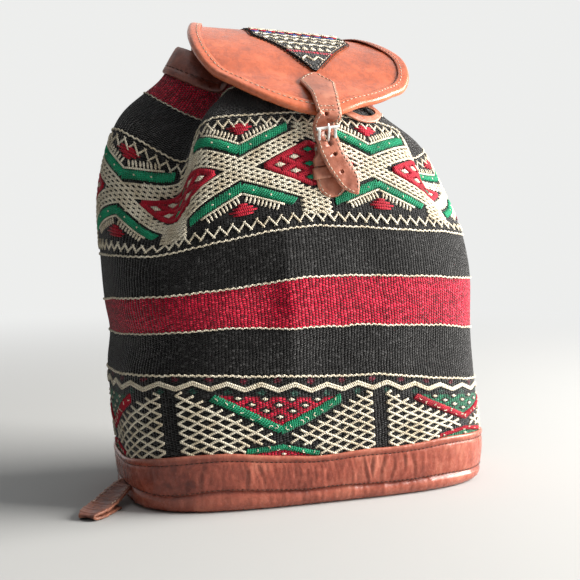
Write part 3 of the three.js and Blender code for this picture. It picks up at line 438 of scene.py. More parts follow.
def ramp(tree, value, stops):
    node = addNode(tree, "ValToRGB", {0: value})
    while len(node.color_ramp.elements) < len(stops):
        node.color_ramp.elements.new(0.5)
    for element, (place, colour) in zip(node.color_ramp.elements, stops):
        element.position = place
        element.color = (*colour, 1)
    return node.outputs[0]


def mixColour(tree, blend, factor, a, b):
    node = addNode(tree, "Mix", data_type="RGBA", blend_type=blend)
    feedInputs(tree, node, {"Factor": factor, 6: a, 7: b})
    return node.outputs[2]


def mathNode(tree, operation, a, b=0.0):
    return addNode(tree, "Math", {0: a, 1: b}, operation=operation).outputs[0]


def bump(tree, height, strength, distance, inputs=None):
    inputs = {"Height": height, "Strength": strength, "Distance": distance, **(inputs or {})}
    return addNode(tree, "Bump", inputs).outputs[0]


# creases in each hide sets how strongly painted shade darkens its crease lines
leatherSet = {
    "base_hide": {"dark": (0.1, 0.018, 0.012), "middle": (0.31, 0.073, 0.045), "pale": (0.54, 0.2, 0.13),
                  "coat": 0.12, "rough": 0.24, "stretch": (1, 1, 0.6), "creases": 0.14, "crackle": 0.5},
    "flap_hide": {"dark": (0.2, 0.036, 0.012), "middle": (0.45, 0.094, 0.034), "pale": (0.66, 0.2, 0.095),
                  "coat": 0.2, "rough": 0.26, "stretch": (1, 1, 1), "creases": 0.05, "crackle": 0.08},
    "strap_hide": {"dark": (0.12, 0.03, 0.016), "middle": (0.4, 0.13, 0.076), "pale": (0.62, 0.29, 0.19),
                   "coat": 0.16, "rough": 0.32, "stretch": (1, 1, 1), "creases": 0.2, "crackle": 0.2},
    # a darker copy of the strap hide for the lower straps: painted shade for where they lie in the bag's
    # shadow
    "shade_darkened_strap_hide": {"dark": (0.024, 0.006, 0.004), "middle": (0.1, 0.025, 0.016), "pale": (0.42, 0.18, 0.11),
                  "coat": 0.06, "rough": 0.42, "stretch": (1, 1, 1), "creases": 0.3, "crackle": 0.5},
    # a darker copy of the base hide for the hem: painted shade for where it sits under the flap
    "shade_darkened_hem_hide": {"dark": (0.034, 0.007, 0.005), "middle": (0.13, 0.03, 0.019), "pale": (0.4, 0.15, 0.1),
                 "coat": 0.08, "rough": 0.34, "stretch": (1, 1, 1), "creases": 0.2, "crackle": 0.5},
}


# cloudy dye, painted shade along the crease lines, pale cracks and edges rubbed pale where the piece says so
def leather(name):
    settings = leatherSet[name]
    material, tree, shader = newMaterial(name)
    times = lambda a, b: mathNode(tree, "MULTIPLY", a, b)
    place = addNode(tree, "TexCoord").outputs["Object"]
    stretched = addNode(tree, "Mapping", {"Vector": place, "Scale": settings["stretch"]}).outputs[0]
    cloudy = noise(tree, place, 26, 6, 0.62)
    fine = noise(tree, place, 170, 4, 0.6)
    crease = noise(tree, stretched, 95, 5, 0.65, 0.6)
    grain = addNode(tree, "TexVoronoi", {"Vector": place, "Scale": 1050}, feature="DISTANCE_TO_EDGE")
    blotch = mathNode(tree, "ADD", times(cloudy, 0.72), times(fine, 0.3))
    tone = ramp(tree, blotch, [(0.3, settings["dark"]), (0.52, settings["middle"]), (0.78, settings["pale"])])
    # painted shade: the crease lines that the fold bump dents are darkened in the colour
    lines = ramp(tree, crease, [(0.4, (0.45, 0.4, 0.38)), (0.52, (1, 1, 1))])
    cracks = ramp(tree, crease, [(0.485, (0, 0, 0)), (0.5, (1, 1, 1)), (0.515, (0, 0, 0))])
    patchy = times(cracks, times(cloudy, settings["crackle"]))
    wear = addNode(tree, "Attribute", attribute_name="wear").outputs["Fac"]
    rubbed = times(wear, times(fine, 0.9))
    colour = mixColour(tree, "MULTIPLY", settings["creases"], tone, lines)
    for share in (patchy, rubbed):
        colour = mixColour(tree, "MIX", share, colour, (*settings["pale"], 1))
    gloss = ramp(tree, fine, [(0.3, (settings["rough"] - 0.1,) * 3), (0.7, (settings["rough"] + 0.14,) * 3)])
    pores = bump(tree, grain.outputs["Distance"], 0.22, 0.0003)
    folds = bump(tree, crease, 0.5, 0.0012, {"Normal": pores})
    feedInputs(tree, shader, {"Base Color": colour, "Roughness": gloss, "Normal": folds,
                              "Specular IOR Level": 0.3, "Coat Weight": settings["coat"],
                              "Coat Roughness": 0.22})
    return material


# weft-faced wool: rounded beads in staggered columns over the painted fields, with painted shade between the
# beads and a painted highlight on their crowns
weaveSet = {"column": 2.45, "bead": 1.7, "gap": 0.1, "crown": 1.4, "dull": 0.52, "bright": 1.55,
            "lint": 0.022}


def woolWeave(name):
    material, tree, shader = newMaterial(name)
    plus = lambda a, b: mathNode(tree, "ADD", a, b)
    times = lambda a, b: mathNode(tree, "MULTIPLY", a, b)
    dome = lambda t: times(times(t, mathNode(tree, "SUBTRACT", 1.0, t)), 4.0)
    run = addNode(tree, "UVMap", uv_map="run").outputs[0]
    field = addNode(tree, "Attribute", attribute_name="wool").outputs["Color"]
    split = addNode(tree, "SeparateXYZ", {0: run})
    swayed = plus(split.outputs[0], times(noise(tree, run, 0.12, 2), 2.4))
    across = mathNode(tree, "DIVIDE", swayed, weaveSet["column"])
    number = mathNode(tree, "FLOOR", across)
    upward = plus(mathNode(tree, "DIVIDE", split.outputs[1], weaveSet["bead"]), times(number, 0.5))
    level = mathNode(tree, "FLOOR", upward)
    across, upward = mathNode(tree, "FRACT", across), mathNode(tree, "FRACT", upward)
    bead = times(mathNode(tree, "SQRT", dome(across)), plus(times(dome(upward), 0.75), 0.25))
    cell = addNode(tree, "CombineXYZ", {0: number, 1: level}).outputs[0]
    spot = addNode(tree, "TexWhiteNoise", {"Vector": cell}, noise_dimensions="2D").outputs["Value"]
    # painted shade and highlight: colour darkened in the gaps between beads and brightened on their crowns
    depth = ramp(tree, bead, [(0.15, (weaveSet["gap"],) * 3), (0.95, (weaveSet["crown"],) * 3)])
    each = ramp(tree, spot, [(0.0, (weaveSet["dull"],) * 3), (1.0, (weaveSet["bright"],) * 3)])
    streak = addNode(tree, "Mapping", {"Vector": run, "Scale": (0.018, 0.26, 1)}).outputs[0]
    bands = ramp(tree, noise(tree, streak, 1.0, 4, 0.7), [(0.3, (0.7,) * 3), (0.7, (1.25,) * 3)])
    lint = times(mathNode(tree, "POWER", spot, 5.0), weaveSet["lint"])
    fluff = addNode(tree, "CombineXYZ", {0: lint, 1: lint, 2: lint}).outputs[0]
    colour = mixColour(tree, "ADD", 1.0, field, fluff)
    for factor in (each, bands, depth):
        colour = mixColour(tree, "MULTIPLY", 1.0, colour, factor)
    height = plus(bead, times(noise(tree, run, 2.6, 3), 0.35))
    feedInputs(tree, shader, {"Base Color": colour, "Normal": bump(tree, height, 1.0, 0.0013),
                              "Roughness": 0.8, "Specular IOR Level": 0.02, "Sheen Weight": 0.36,
                              "Sheen Roughness": 0.4})
    return material


# plied yarn: slanted plies along each stroke with painted shade in the grooves between them, a little soiled
def yarn(name, colour, soil, plies=1.5):
    material, tree, shader = newMaterial(name)
    times = lambda a, b: mathNode(tree, "MULTIPLY", a, b)
    run = addNode(tree, "UVMap", uv_map="run").outputs[0]
    split = addNode(tree, "SeparateXYZ", {0: run})
    slant = mathNode(tree, "ADD", times(split.outputs[0], 2 * math.pi / plies),
                     times(split.outputs[1], 2 * math.pi))
    ply = mathNode(tree, "ADD", times(mathNode(tree, "SINE", slant), 0.5), 0.5)
    place = addNode(tree, "TexCoord").outputs["Object"]
    tone = ramp(tree, noise(tree, place, 75, 5, 0.65), [(0.33, soil), (0.6, colour)])
    # painted shade: the colour darkened in the grooves between the plies
    groove = ramp(tree, ply, [(0.0, (0.5, 0.47, 0.43)), (0.6, (1, 1, 1))])
    feedInputs(tree, shader, {"Base Color": mixColour(tree, "MULTIPLY", 0.8, tone, groove),
                              "Normal": bump(tree, ply, 0.7, 0.0004), "Roughness": 0.85,
                              "Specular IOR Level": 0.18, "Sheen Weight": 0.15})
    return material


def metal(name, colour, rough):
    material, tree, shader = newMaterial(name)
    place = addNode(tree, "TexCoord").outputs["Object"]
    tarnish = noise(tree, place, 220, 5, 0.7)
    tone = ramp(tree, tarnish, [(0.3, tuple(0.6 * c for c in colour)), (0.62, colour)])
    gloss = ramp(tree, tarnish, [(0.3, (rough + 0.2,) * 3), (0.7, (rough,) * 3)])
    scratches = bump(tree, noise(tree, place, 900, 3), 0.12, 0.0002)
    feedInputs(tree, shader, {"Base Color": tone, "Roughness": gloss, "Normal": scratches, "Metallic": 1.0})
    return material


baseHide, flapHide, strapHide = leather("base_hide"), leather("flap_hide"), leather("strap_hide")
shadeDarkenedStrapHide, shadeDarkenedHemHide = leather("shade_darkened_strap_hide"), leather("shade_darkened_hem_hide")
kilimWool = woolWeave("kilim_wool")
creamYarn = yarn("cream_yarn", (0.88, 0.82, 0.67), (0.6, 0.51, 0.36))
greenYarn = yarn("green_yarn", (0.01, 0.34, 0.165), (0.005, 0.16, 0.08))
redYarn = yarn("red_yarn", (0.5, 0.008, 0.03), (0.24, 0.004, 0.014))
blueYarn = yarn("blue_yarn", (0.035, 0.09, 0.36), (0.02, 0.05, 0.18))
sewingThread = yarn("sewing_thread", (0.76, 0.64, 0.52), (0.48, 0.34, 0.25), plies=0.9)
darkThread = yarn("dark_thread", (0.1, 0.035, 0.022), (0.05, 0.018, 0.012), plies=0.9)
buckleSteel = metal("buckle_steel", (0.84, 0.83, 0.8), 0.3)
eyeletBrass = metal("eyelet_brass", (0.6, 0.43, 0.18), 0.28)
print("materials ready")

# woven fields of the kilim: stripes by height, then the coloured fields of both patterned bands
kilimSet = {
    "columns": 480, "wallColumns": 96, "wine": (0.13, 0.008, 0.022), "moss": (0.012, 0.06, 0.042),
    "charcoal": (0.0075, 0.007, 0.007), "crimson": (0.5, 0.004, 0.032), "bottle": (0.006, 0.17, 0.08),
    "lining": (0.05, 0.045, 0.04),
    "stripes": [(97, "charcoal"), (131, "charcoal"), (163, "crimson"), (200, "charcoal"), (288, "charcoal"),
                (329, "charcoal"), (363, "crimson")],
    "rows": [(13, 36, 8), (36, 97, 47), (97, 131, 11), (131, 163, 11), (163, 200, 12), (200, 288, 62),
             (288, 329, 18), (329, 363, 15)],
}
lowerSet = {"level": 66, "first": -43.0, "pitch": 157.4, "apex": 59.3, "slope": 0.455, "arm": 47.0,
            "footApex": 47.2, "footSlope": 0.17, "footArm": 27.0, "net": 6.3, "netFrom": 31.9, "netLow": 33,
            "netTop": 85.2, "bar": 5.7, "fieldTop": 82.6, "zigzag": 89.2, "zigzagPeriod": 24.4,
            "valley": -42.3, "lozengeTop": 80.8, "lozengeStep": 4.1, "lozengeSpace": 19.4}
upperSet = {"level": 244, "low": 200, "high": 288, "first": 32.9, "pitch": 104.2, "middle": 247.5,
            "gap": 13.1, "slope": 0.41, "arm": 37.5, "shear": -0.01, "net": 3.5, "netLow": 208.5,
            "netTop": 279.5, "diamondWide": 34.0, "diamondTall": 15.8, "zigzags": (207.2, 281.4),
            "zigzagPeriod": 8.4}
lowerU, lowerTurns = roundMap(lowerSet["level"])
upperU, upperTurns = roundMap(upperSet["level"])


# nearest panel of the lower band: offset from its middle line and whether it is a green one
def lowerPanel(u):
    number = np.round((u - lowerSet["first"]) / lowerSet["pitch"])
    return u - lowerSet["first"] - number * lowerSet["pitch"], number % 2 == 0


def upperPanel(u):
    number = np.round((u - upperSet["first"]) / upperSet["pitch"])
    return u - upperSet["first"] - number * upperSet["pitch"]


def upperLean(height):
    return upperSet["shear"] * (np.asarray(height, float) - upperSet["level"])


# small lozenges of a lower panel, four rows that narrow downward
def lozengePlaces():
    space, top, step = lowerSet["lozengeSpace"], lowerSet["lozengeTop"], lowerSet["lozengeStep"]
    return [((k - (count - 1) / 2) * space, top - step * row)
            for row, count in enumerate((4, 3, 2, 1)) for k in range(count)]


def fieldColour(turn, height):
    turn, height = alike(turn, height)
    tops = np.array([top for top, _ in kilimSet["stripes"]])
    tones = np.array([kilimSet[tone] for _, tone in kilimSet["stripes"]])
    colour = tones[np.clip(np.searchsorted(tops, height), 0, len(tops) - 1)].copy()
    turnBack = np.where(turn < 90, turn + 360, turn)
    u = np.interp(turnBack, lowerTurns, lowerU)
    du, isGreen = lowerPanel(u)
    apex = lowerSet["apex"] + lowerSet["slope"] * np.abs(du)
    inside = (height > apex + 2.5) & (height < lowerSet["fieldTop"])
    foot = lowerSet["footApex"] - lowerSet["footSlope"] * np.abs(du)
    low = (height < foot - 1.5) & (height > 36) & (np.abs(du) < lowerSet["footArm"] - 3)
    for offset, level in lozengePlaces():
        inside = inside & ~(np.abs(du - offset) / 5.6 + np.abs(height - level) / 3.1 < 1)
    field = inside | low
    colour[field & isGreen] = kilimSet["crimson"]
    colour[field & ~isGreen] = kilimSet["bottle"]
    beat = (u - lowerSet["valley"]) / lowerSet["zigzagPeriod"]
    for offset, level, tone in ((0, 93.9, "wine"), (0.5, 85.0, "moss")):
        away = ((beat + offset + 0.5) % 1 - 0.5) * lowerSet["zigzagPeriod"]
        colour[np.abs(away) / 3.6 + np.abs(height - level) / 2.4 < 1] = kilimSet[tone]
    u = np.interp(turnBack, upperTurns, upperU) - upperLean(height)
    du = upperPanel(u + upperSet["pitch"] / 2)
    aside = np.abs(du) / upperSet["diamondWide"]
    above = np.abs(height - upperSet["middle"]) / upperSet["diamondTall"]
    lozenge = aside + above < 1
    colour[lozenge & (height > upperSet["low"]) & (height < upperSet["high"])] = kilimSet["crimson"]
    return colour


def makeKilim():
    rows = []
    for low, high, count in kilimSet["rows"]:
        rows += list(np.linspace(low + 0.02, high - 0.02, count + 1))
    rows = np.array(rows)
    columns = kilimSet["columns"]
    turns = 90 + 360 * np.arange(columns) / columns
    outer = cloth(turns[:, None], woven(turns[:, None], rows[None, :]))
    colour = fieldColour(turns[:, None] % 360, rows[None, :])
    u = np.interp(turns, lowerTurns, lowerU)
    uv = np.stack(np.broadcast_arrays(u[:, None], rows[None, :]), -1)
    coarse = kilimSet["wallColumns"]
    step = columns // coarse
    innerRows = np.concatenate([rows[:1], np.linspace(30, 350, 33), rows[-1:]])
    inner = cloth(turns[::step, None], innerRows[None, :], -3)
    n, m = len(rows), len(innerRows)
    faces = []
    o = lambda i, j: (i % columns) * n + j
    k = lambda i, j: columns * n + (i % coarse) * m + j
    for i in range(columns):
        faces += [[o(i, j), o(i + 1, j), o(i + 1, j + 1), o(i, j + 1)] for j in range(n - 1)]
    for i in range(coarse):
        faces += [[k(i, j), k(i, j + 1), k(i + 1, j + 1), k(i + 1, j)] for j in range(m - 1)]
        low = [o(i * step + q, 0) for q in range(step, -1, -1)]
        high = [o(i * step + q, n - 1) for q in range(step + 1)]
        faces.append(low + [k(i, 0), k(i + 1, 0)])
        faces.append(high + [k(i + 1, m - 1), k(i, m - 1)])
    points = np.concatenate([outer.reshape(-1, 3), inner.reshape(-1, 3)])
    innerColour = np.tile(kilimSet["lining"], (coarse * m, 1))
    innerUv = np.stack(np.broadcast_arrays(u[::step, None], innerRows[None, :]), -1).reshape(-1, 2)
    rgb = np.concatenate([colour.reshape(-1, 3), innerColour])
    rgba = np.concatenate([rgb, np.ones((len(rgb), 1))], 1)
    allUv = np.concatenate([uv.reshape(-1, 2), innerUv])
    return makePiece("kilim_cloth", points, faces, kilimWool, "bag", uv=allUv, colour=rgba)


# strokes of the pattern, kept as round distance and height until they are laid on the cloth
pattern = {"cream": [], "green": [], "red": []}


def stroke(tone, band, u, height, wide, tall=0.7, lift=0.25):
    u, height = alike(u, height)
    pattern[tone].append((band, u, height, wide, tall, lift))


# a straight short stitch, thick in the middle
def stitch(tone, band, start, end, wide, tall=0.75, lift=0.25, taper=0.55):
    f = np.array([0, 0.33, 0.67, 1])
    u = start[0] + (end[0] - start[0]) * f
    height = start[1] + (end[1] - start[1]) * f
    ends = np.array([0.5, 1, 1, 0.5])
    stroke(tone, band, u, height, wide * np.array([taper, 1, 1, taper]), tall * ends, lift)


def lozengeStitch(tone, band, u, height, long, wide, tall=0.7):
    f = np.linspace(-1, 1, 5)
    away = np.abs(f)
    stroke(tone, band, u + f * long, np.full(5, height), wide * (1.08 - away), tall * (1.2 - 0.7 * away), 0.2)


# a line cut into the runs where it is kept
def runs(tone, band, u, height, keep, wide, tall=0.7, lift=0.25, least=3, end=0.6):
    inside = np.flatnonzero(keep)
    if len(inside) == 0:
        return
    for part in np.split(inside, np.flatnonzero(np.diff(inside) > 1) + 1):
        if len(part) >= least:
            ends = np.ones(len(part))
            ends[[0, -1]] = end
            rise = lift[part] if isinstance(lift, np.ndarray) else lift
            stroke(tone, band, u[part], height[part], wide * ends, tall * ends, rise)


# loose curls of light thread caught in a satin band
def curls(band, start, end, count, size=1.5):
    for f in (np.arange(count) + chance.uniform(0.2, 0.8, count)) / count:
        u = start[0] + (end[0] - start[0]) * f
        height = start[1] + (end[1] - start[1]) * f + chance.uniform(-1.6, 1.6)
        turn = chance.uniform(0, 6.28) + np.linspace(0, chance.uniform(1.6, 3.6), 6)
        stroke("cream", band, u + size * np.cos(turn), height + 0.75 * size * np.sin(turn), 0.36, 0.36, 1.05)


# a satin band: stitches side by side across a slanting arm
def satinArm(tone, band, start, end, half, pitch=1.75):
    start, end = np.array(start, float), np.array(end, float)
    length = np.linalg.norm(end - start)
    run = (end - start) / length
    across = np.array([-run[1], run[0]])
    lean = run * 0.45
    for at in np.arange(0.6, length, pitch):
        middle = start + run * at
        size = half * (1 + chance.uniform(-0.08, 0.12))
        reach = (across + lean) * size
        stitch(tone, band, middle - reach, middle + reach, pitch * 0.56, 0.85)


# the part of an arm that lies on the cloth, short of the back seam
def armSpan(centre, side, arm, low, high):
    first, last = sorted(((low - centre) * side, (high - centre) * side))
    return max(0.0, first), min(arm, last)


def lowerPattern():
    low, high = lowerU[0] + 2, lowerU[-1] - 2
    slope, pitch, arm, apex = lowerSet["slope"], lowerSet["net"], lowerSet["arm"], lowerSet["apex"]
    reach = lowerSet["pitch"] / 2 - lowerSet["bar"]
    netSlope = round(2 * 0.47 * reach / pitch) * pitch / (2 * reach)
    du = np.linspace(-reach, reach, 92)
    vLine = apex + slope * np.abs(du)
    footLine = lowerSet["footApex"] - lowerSet["footSlope"] * np.abs(du)
    foot = np.where(np.abs(du) < lowerSet["footArm"], footLine, 20)
    arms = ((arm, apex, slope, 3.0, 8, 1.5),
            (lowerSet["footArm"], lowerSet["footApex"], -lowerSet["footSlope"], 1.9, 3, 1.1))
    for number in range(-4, 5):
        centre = lowerSet["first"] + number * lowerSet["pitch"]
        if centre + reach < low or centre - reach > high:
            continue
        tone = "green" if number % 2 == 0 else "red"
        here = (centre + du > low) & (centre + du < high)
        for side in (-1, 1):
            for length, top, lean, half, count, size in arms:
                first, last = armSpan(centre, side, length, low + 3, high - 3)
                if last - first > 4:
                    start, end = ((centre + side * at, top + lean * at) for at in (first, last))
                    satinArm(tone, "lower", start, end, half)
                    curls("lower", start, end, math.ceil(count * (last - first) / length), size)
            # one family of the net: parallel to an arm on its own side, ending loose at the other arm
            for k in range(-14, 28):
                height = lowerSet["netFrom"] + k * pitch + side * netSlope * (du + reach)
                parallel = side * du > 0
                ragged = chance.uniform(-0.6, 0.6)
                room = vLine - np.where(parallel, 8.2, 4.7 + ragged)
                keep = height < np.minimum(room, lowerSet["netTop"] + ragged)
                keep &= height > foot + np.where(parallel, 3.6 + ragged, 6.0)
                keep &= (height > lowerSet["netLow"]) & here
                lift = 0.38 + 0.26 * side * np.cos(2 * np.pi * netSlope * (du + reach) / pitch)
                wave = 0.2 * np.sin(du / 2.7 + k)
                runs("cream", "lower", centre + du, height + wave, keep, 0.92, 0.74, lift, end=1.1)
        for offset, level in lozengePlaces():
            if low < centre + offset < high:
                lozengeStitch("cream", "lower", centre + offset, level, 2.5, 1.25)
        if low < centre < high:
            lozengeStitch("cream", "lower", centre, 42.0, 2.0, 1.0)
    # double zigzag under the cord
    u = np.arange(low, high, 1.2)
    beat = (u - lowerSet["valley"]) / lowerSet["zigzagPeriod"]
    wave = 2.2 * (4 * np.abs((beat + 0.5) % 1 - 0.5) - 1) * -1
    for offset in (-0.85, 0.85):
        for part in np.array_split(np.arange(len(u)), 24):
            part = np.append(part, min(part[-1] + 1, len(u) - 1))
            bead = 0.16 * np.sin(2 * np.pi * u[part] / 2.1)
            level = lowerSet["zigzag"] - wave[part] + offset
            stroke("cream", "lower", u[part], level, 0.92 + bead, 0.74 + bead, 0.3)


def upperPattern():
    low, high = upperU[0] + 2, upperU[-1] - 2
    slope, arm, middle = upperSet["slope"], upperSet["arm"], upperSet["middle"]
    wide, tall = upperSet["diamondWide"], upperSet["diamondTall"]
    inside = lambda u: low + 12 < u < high - 12
    numbers = range(math.floor(low / upperSet["pitch"]) - 1, math.ceil(high / upperSet["pitch"]) + 1)
    for number in numbers:
        centre = upperSet["first"] + number * upperSet["pitch"]
        for way in (1, -1):  # upper V and its mirror below
            apex = middle + way * upperSet["gap"]
            for side in (-1, 1):
                first, last = armSpan(centre, side, arm, low + 6, high - 6)
                if last - first < 6:
                    continue
                start, end = ((centre + side * at, apex + way * slope * at) for at in (first, last))
                satinArm("green", "upper", start, end, 3.1)
                run = np.array([side, way * slope]) / math.hypot(1, slope)
                across = np.array([-side * slope, way]) / math.hypot(1, slope)
                at = np.arange(first, last - 6, 2.6)
                edge = np.array([centre, apex + way * 4.6]) + np.outer(at, run)
                if len(edge) > 1:
                    stroke("cream", "upper", edge[:, 0], edge[:, 1], 0.8, 0.65, 0.3)
                for at in np.arange(first + 4.0, last - 8, 2.9):  # comb stitches inside the arms
                    foot = np.array([centre, apex + way * 5.4]) + run * at
                    room = (upperSet["high"] - 7.5 if way > 0 else -(upperSet["low"] + 7.5)) - way * foot[1]
                    size = min(4.6, max(room, 0) * 1.1)
                    if size > 2:
                        tip = foot + across * size + np.array([chance.uniform(-0.5, 0.5), 0])
                        stitch("cream", "upper", foot, tip, 0.9, 0.7)
                for at in np.arange(first + 9, last - 8, 13.0):  # bright dots on the green
                    spot = np.array([centre, apex]) + run * at
                    lozengeStitch("cream", "upper", spot[0], spot[1], 1.1, 0.9, 1.3)
            if inside(centre):
                for row, half in enumerate((7.0, 9.8, 7.2, 3.4)):  # red stepped triangle
                    level = middle + way * (32.0 - 2.15 * row)
                    stitch("red", "upper", (centre - half, level), (centre + half, level), 1.15, 0.8)
        # red lattice diamond with small light and green diamonds in it
        heart = centre + upperSet["pitch"] / 2
        if low - wide < heart < high + wide:
            for k in (-1, -1 / 3, 1 / 3, 1):
                for way in (-1, 1):
                    f = np.linspace(-1, 1, 15)
                    u = heart + wide * (f + k) / 2
                    height = middle + way * tall * (f - k) / 2
                    runs("red", "upper", u, height, (u > low + 3) & (u < high - 3), 2.0, 0.9, 0.3, end=0.9)
            for a in range(3):
                for b in range(3):
                    u, level = heart + (a - b) * wide / 3, middle + (a + b - 2) * tall / 3
                    if inside(u):
                        lozengeStitch("green" if a == b else "cream", "upper", u, level, 3.9, 1.9, 1.05)
    # cream net between the arms and round the diamonds
    span = np.arange(low, high, 2.3)
    du = upperPanel(span)
    ds = upperPanel(span + upperSet["pitch"] / 2)
    nearArm = np.abs(du) < arm + 2
    armRise = upperSet["gap"] + slope * np.abs(du) - 4.9
    vTop = np.where(nearArm, middle + armRise, upperSet["netTop"])
    aLow = np.where(nearArm, middle - armRise, upperSet["netLow"])
    for way in (-1, 1):
        lean = way * slope
        for start in np.arange(low * slope - 60, high * slope + 60, upperSet["net"]):
            height = middle + start - lean * span if way > 0 else middle - start - lean * span
            ragged = chance.uniform(-0.8, 0.8)
            clear = np.abs(ds) / (wide + 5.5) + np.abs(height - middle) / (tall + 2.7) > 1
            keep = (height < vTop + ragged) & (height > aLow + ragged) & clear
            lift = 0.32 + 0.22 * way * np.cos(2 * np.pi * span * slope / upperSet["net"])
            runs("cream", "upper", span, height, keep, 0.9, 0.72, lift)
    # crossed zigzags inside the two cords
    for level in upperSet["zigzags"]:
        for k in np.arange(low, high - upperSet["zigzagPeriod"], upperSet["zigzagPeriod"]):
            half = upperSet["zigzagPeriod"] / 2
            for a, b in (((k, -2.6), (k + half, 2.6)), ((k + half, 2.6), (k + 2 * half, -2.6))):
                over = 0.22 + chance.uniform(-0.05, 0.05)
                start = (a[0] - (b[0] - a[0]) * over, level + a[1] - (b[1] - a[1]) * over)
                end = (b[0] + (b[0] - a[0]) * over, level + b[1] + (b[1] - a[1]) * over)
                stitch("cream", "upper", start, end, 0.8, 0.72, 0.3 if a[1] < b[1] else 0.55)


def layPattern():
    pieces = []
    for tone, material in (("cream", creamYarn), ("green", greenYarn), ("red", redYarn)):
        rows = pattern[tone]
        u = np.concatenate([r[1] for r in rows])
        height = np.concatenate([r[2] for r in rows])
        upper = np.concatenate([np.full(len(r[1]), r[0] == "upper") for r in rows])
        lift = np.concatenate([np.broadcast_to(r[5], len(r[1])) for r in rows])
        uLeant = u + np.where(upper, upperLean(height), 0)
        turn = np.where(upper, np.interp(uLeant, upperU, upperTurns), np.interp(uLeant, lowerU, lowerTurns))
        height = woven(turn, height)
        normal = clothNormal(turn, height)
        points = clothFace(turn, height) + normal * lift[:, None]
        strokes, at = [], 0
        for _, us, _, wide, tall, _ in rows:
            strokes.append((points[at:at + len(us)], normal[at:at + len(us)], wide, tall))
            at += len(us)
        pieces.append(layYarn("kilim_" + tone + "_yarn", strokes, material, "bag"))
    return pieces


# white twisted cords between the stripes
cordSet = {"heights": [97, 131, 163, 200, 288, 329], "wide": [0.78, 0.6, 0.68, 0.68, 0.68, 0.5],
           "tall": 0.62, "twist": 4.7, "sway": 0.42, "parts": 12}


def stripeCords():
    strokes = []
    for height, wide in zip(cordSet["heights"], cordSet["wide"]):
        u, turns = roundMap(height)
        bounds = np.linspace(u[0], u[-1], cordSet["parts"] + 1)
        for first, last in zip(bounds[:-1], bounds[1:]):
            at = np.linspace(first, last, 74)
            turn = np.interp(at, u, turns)
            level = woven(turn, height) + 0.4 * waves(at, height, (61, 37, 19))
            level = level + cordSet["sway"] * np.sin(2 * np.pi * at / cordSet["twist"])
            normal = clothNormal(turn, level)
            lift = 0.35 + 0.18 * np.cos(2 * np.pi * at / cordSet["twist"])
            strokes.append((clothFace(turn, level) + normal * lift[:, None], normal, wide, cordSet["tall"]))
    return layYarn("stripe_cords", strokes, creamYarn, "bag")


kilim = makeKilim()
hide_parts("kilim_body")
lowerPattern()
upperPattern()
patternPieces = layPattern() + [stripeCords()]
print("kilim woven:", {p.name: len(p.data.polygons) for p in [kilim] + patternPieces})

# leather band round the foot: turned hem, stitch groove and upright wrinkles
bandSet = {"turns": 720, "wrinkle": 0.3,
           "creases": [225.5, 231, 287, 291, 296, 301, 305.5, 310, 196, 203, 214]}
bandLine = smoothLine([(0, 43), (60, 42), (180, 41), (189, 41.5), (199, 45), (206, 46.5), (210, 48),
                       (221, 48), (228, 45.5), (235, 43), (246, 40.5), (256, 38.3), (267, 38), (290, 40.5),
                       (303, 41), (314, 43), (324, 46.5), (338, 46), (360, 43)])
seamLine = smoothLine([(0, 11), (150, 12), (185, 14), (195, 15), (201, 12), (208, 13.5), (212, 15.5),
                       (217, 18), (225, 16.5), (234, 14.5), (250, 12.5), (274, 13), (291, 12), (310, 11.5),
                       (322, 12.5), (336, 11), (360, 11)])


def makeBand():
    turns = 90 + 360 * np.arange(bandSet["turns"]) / bandSet["turns"]
    u = np.interp(turns, lowerTurns, lowerU)
    low, high = seamLine(turns), bandLine(turns)
    place = lambda part: low + (high - low) * part
    outer = [(0.0, 0.5), (0.005, 1.4), (0.02, 2.0), (0.06, 2.45), (0.12, 2.6), (0.2, 2.7), (0.28, 2.75),
             (0.36, 2.75), (0.44, 2.7), (0.52, 2.65), (0.6, 2.6), (0.68, 2.5), (0.75, 2.4), (0.79, 2.2),
             (0.815, 1.85), (0.835, 1.85), (0.86, 2.4), (0.9, 2.75), (0.95, 2.75), (0.98, 2.4), (0.995, 1.8),
             (1.0, 1.0)]
    innerSide = [(0.98, 0.35), (0.7, 0.3), (0.4, 0.3), (0.02, 0.3)]
    grid = []
    for part, out in outer:
        fade = float(smoothStep(part, 0.0, 0.1)) * (1 - 0.85 * float(smoothStep(part, 0.72, 0.8)))
        sway = 1.8 * np.sin(part * 5.0 + u / 31)
        crumple = waves(u + sway, 3) + 0.6 * waves(u - sway, 5, (4.2, 3.1, 6.1)) * (0.4 + part)
        for k, turn in enumerate(bandSet["creases"]):
            at = np.interp(turn, lowerTurns, lowerU) + 2.2 * math.sin(part * 4 + k)
            strength = math.exp(-((part - 0.5 - 0.2 * math.sin(2.3 * k)) / 0.38) ** 2)
            swell, groove = np.exp(-((u - at - 2.6) / 1.8) ** 2), np.exp(-((u - at) / 1.1) ** 2)
            crumple = crumple + strength * (1.5 * swell - 2.0 * groove)
        grid.append(cloth(turns, place(part), out + bandSet["wrinkle"] * fade * crumple))
    for part, out in innerSide:
        grid.append(cloth(turns, place(part), out))
    wear = [0.6 if 0.9 < part <= 1 else 0.2 if part < 0.03 else 0.0 for part, _ in outer]
    wear += [0.0] * len(innerSide)
    band = loft("base_leather_band", np.stack(grid, 1), baseHide, "bag", wraps=True,
                wear=np.tile(wear, bandSet["turns"]))
    lines = []
    ring = np.linspace(90, 450, 1000)
    low, high = seamLine(ring), bandLine(ring)
    for part, out in ((0.825, 1.95), (0.045, 2.5)):
        lines += clothStitches(ring, low + (high - low) * part, out, 3.6, 2.6)
    layYarn("base_stitches", lines, darkThread, "bag")
    return band


panelSet = {"turns": 480, "round": 7.0, "parts": [0, 0.03, 0.09, 0.18, 0.3, 0.45, 0.62, 0.78, 0.9, 0.97, 1.0],
            "wear": [0.2, 0.5, 0.5, 0.3, 0.2, 0.3, 0.3, 0.2, 0, 0, 0, 0, 0, 0]}


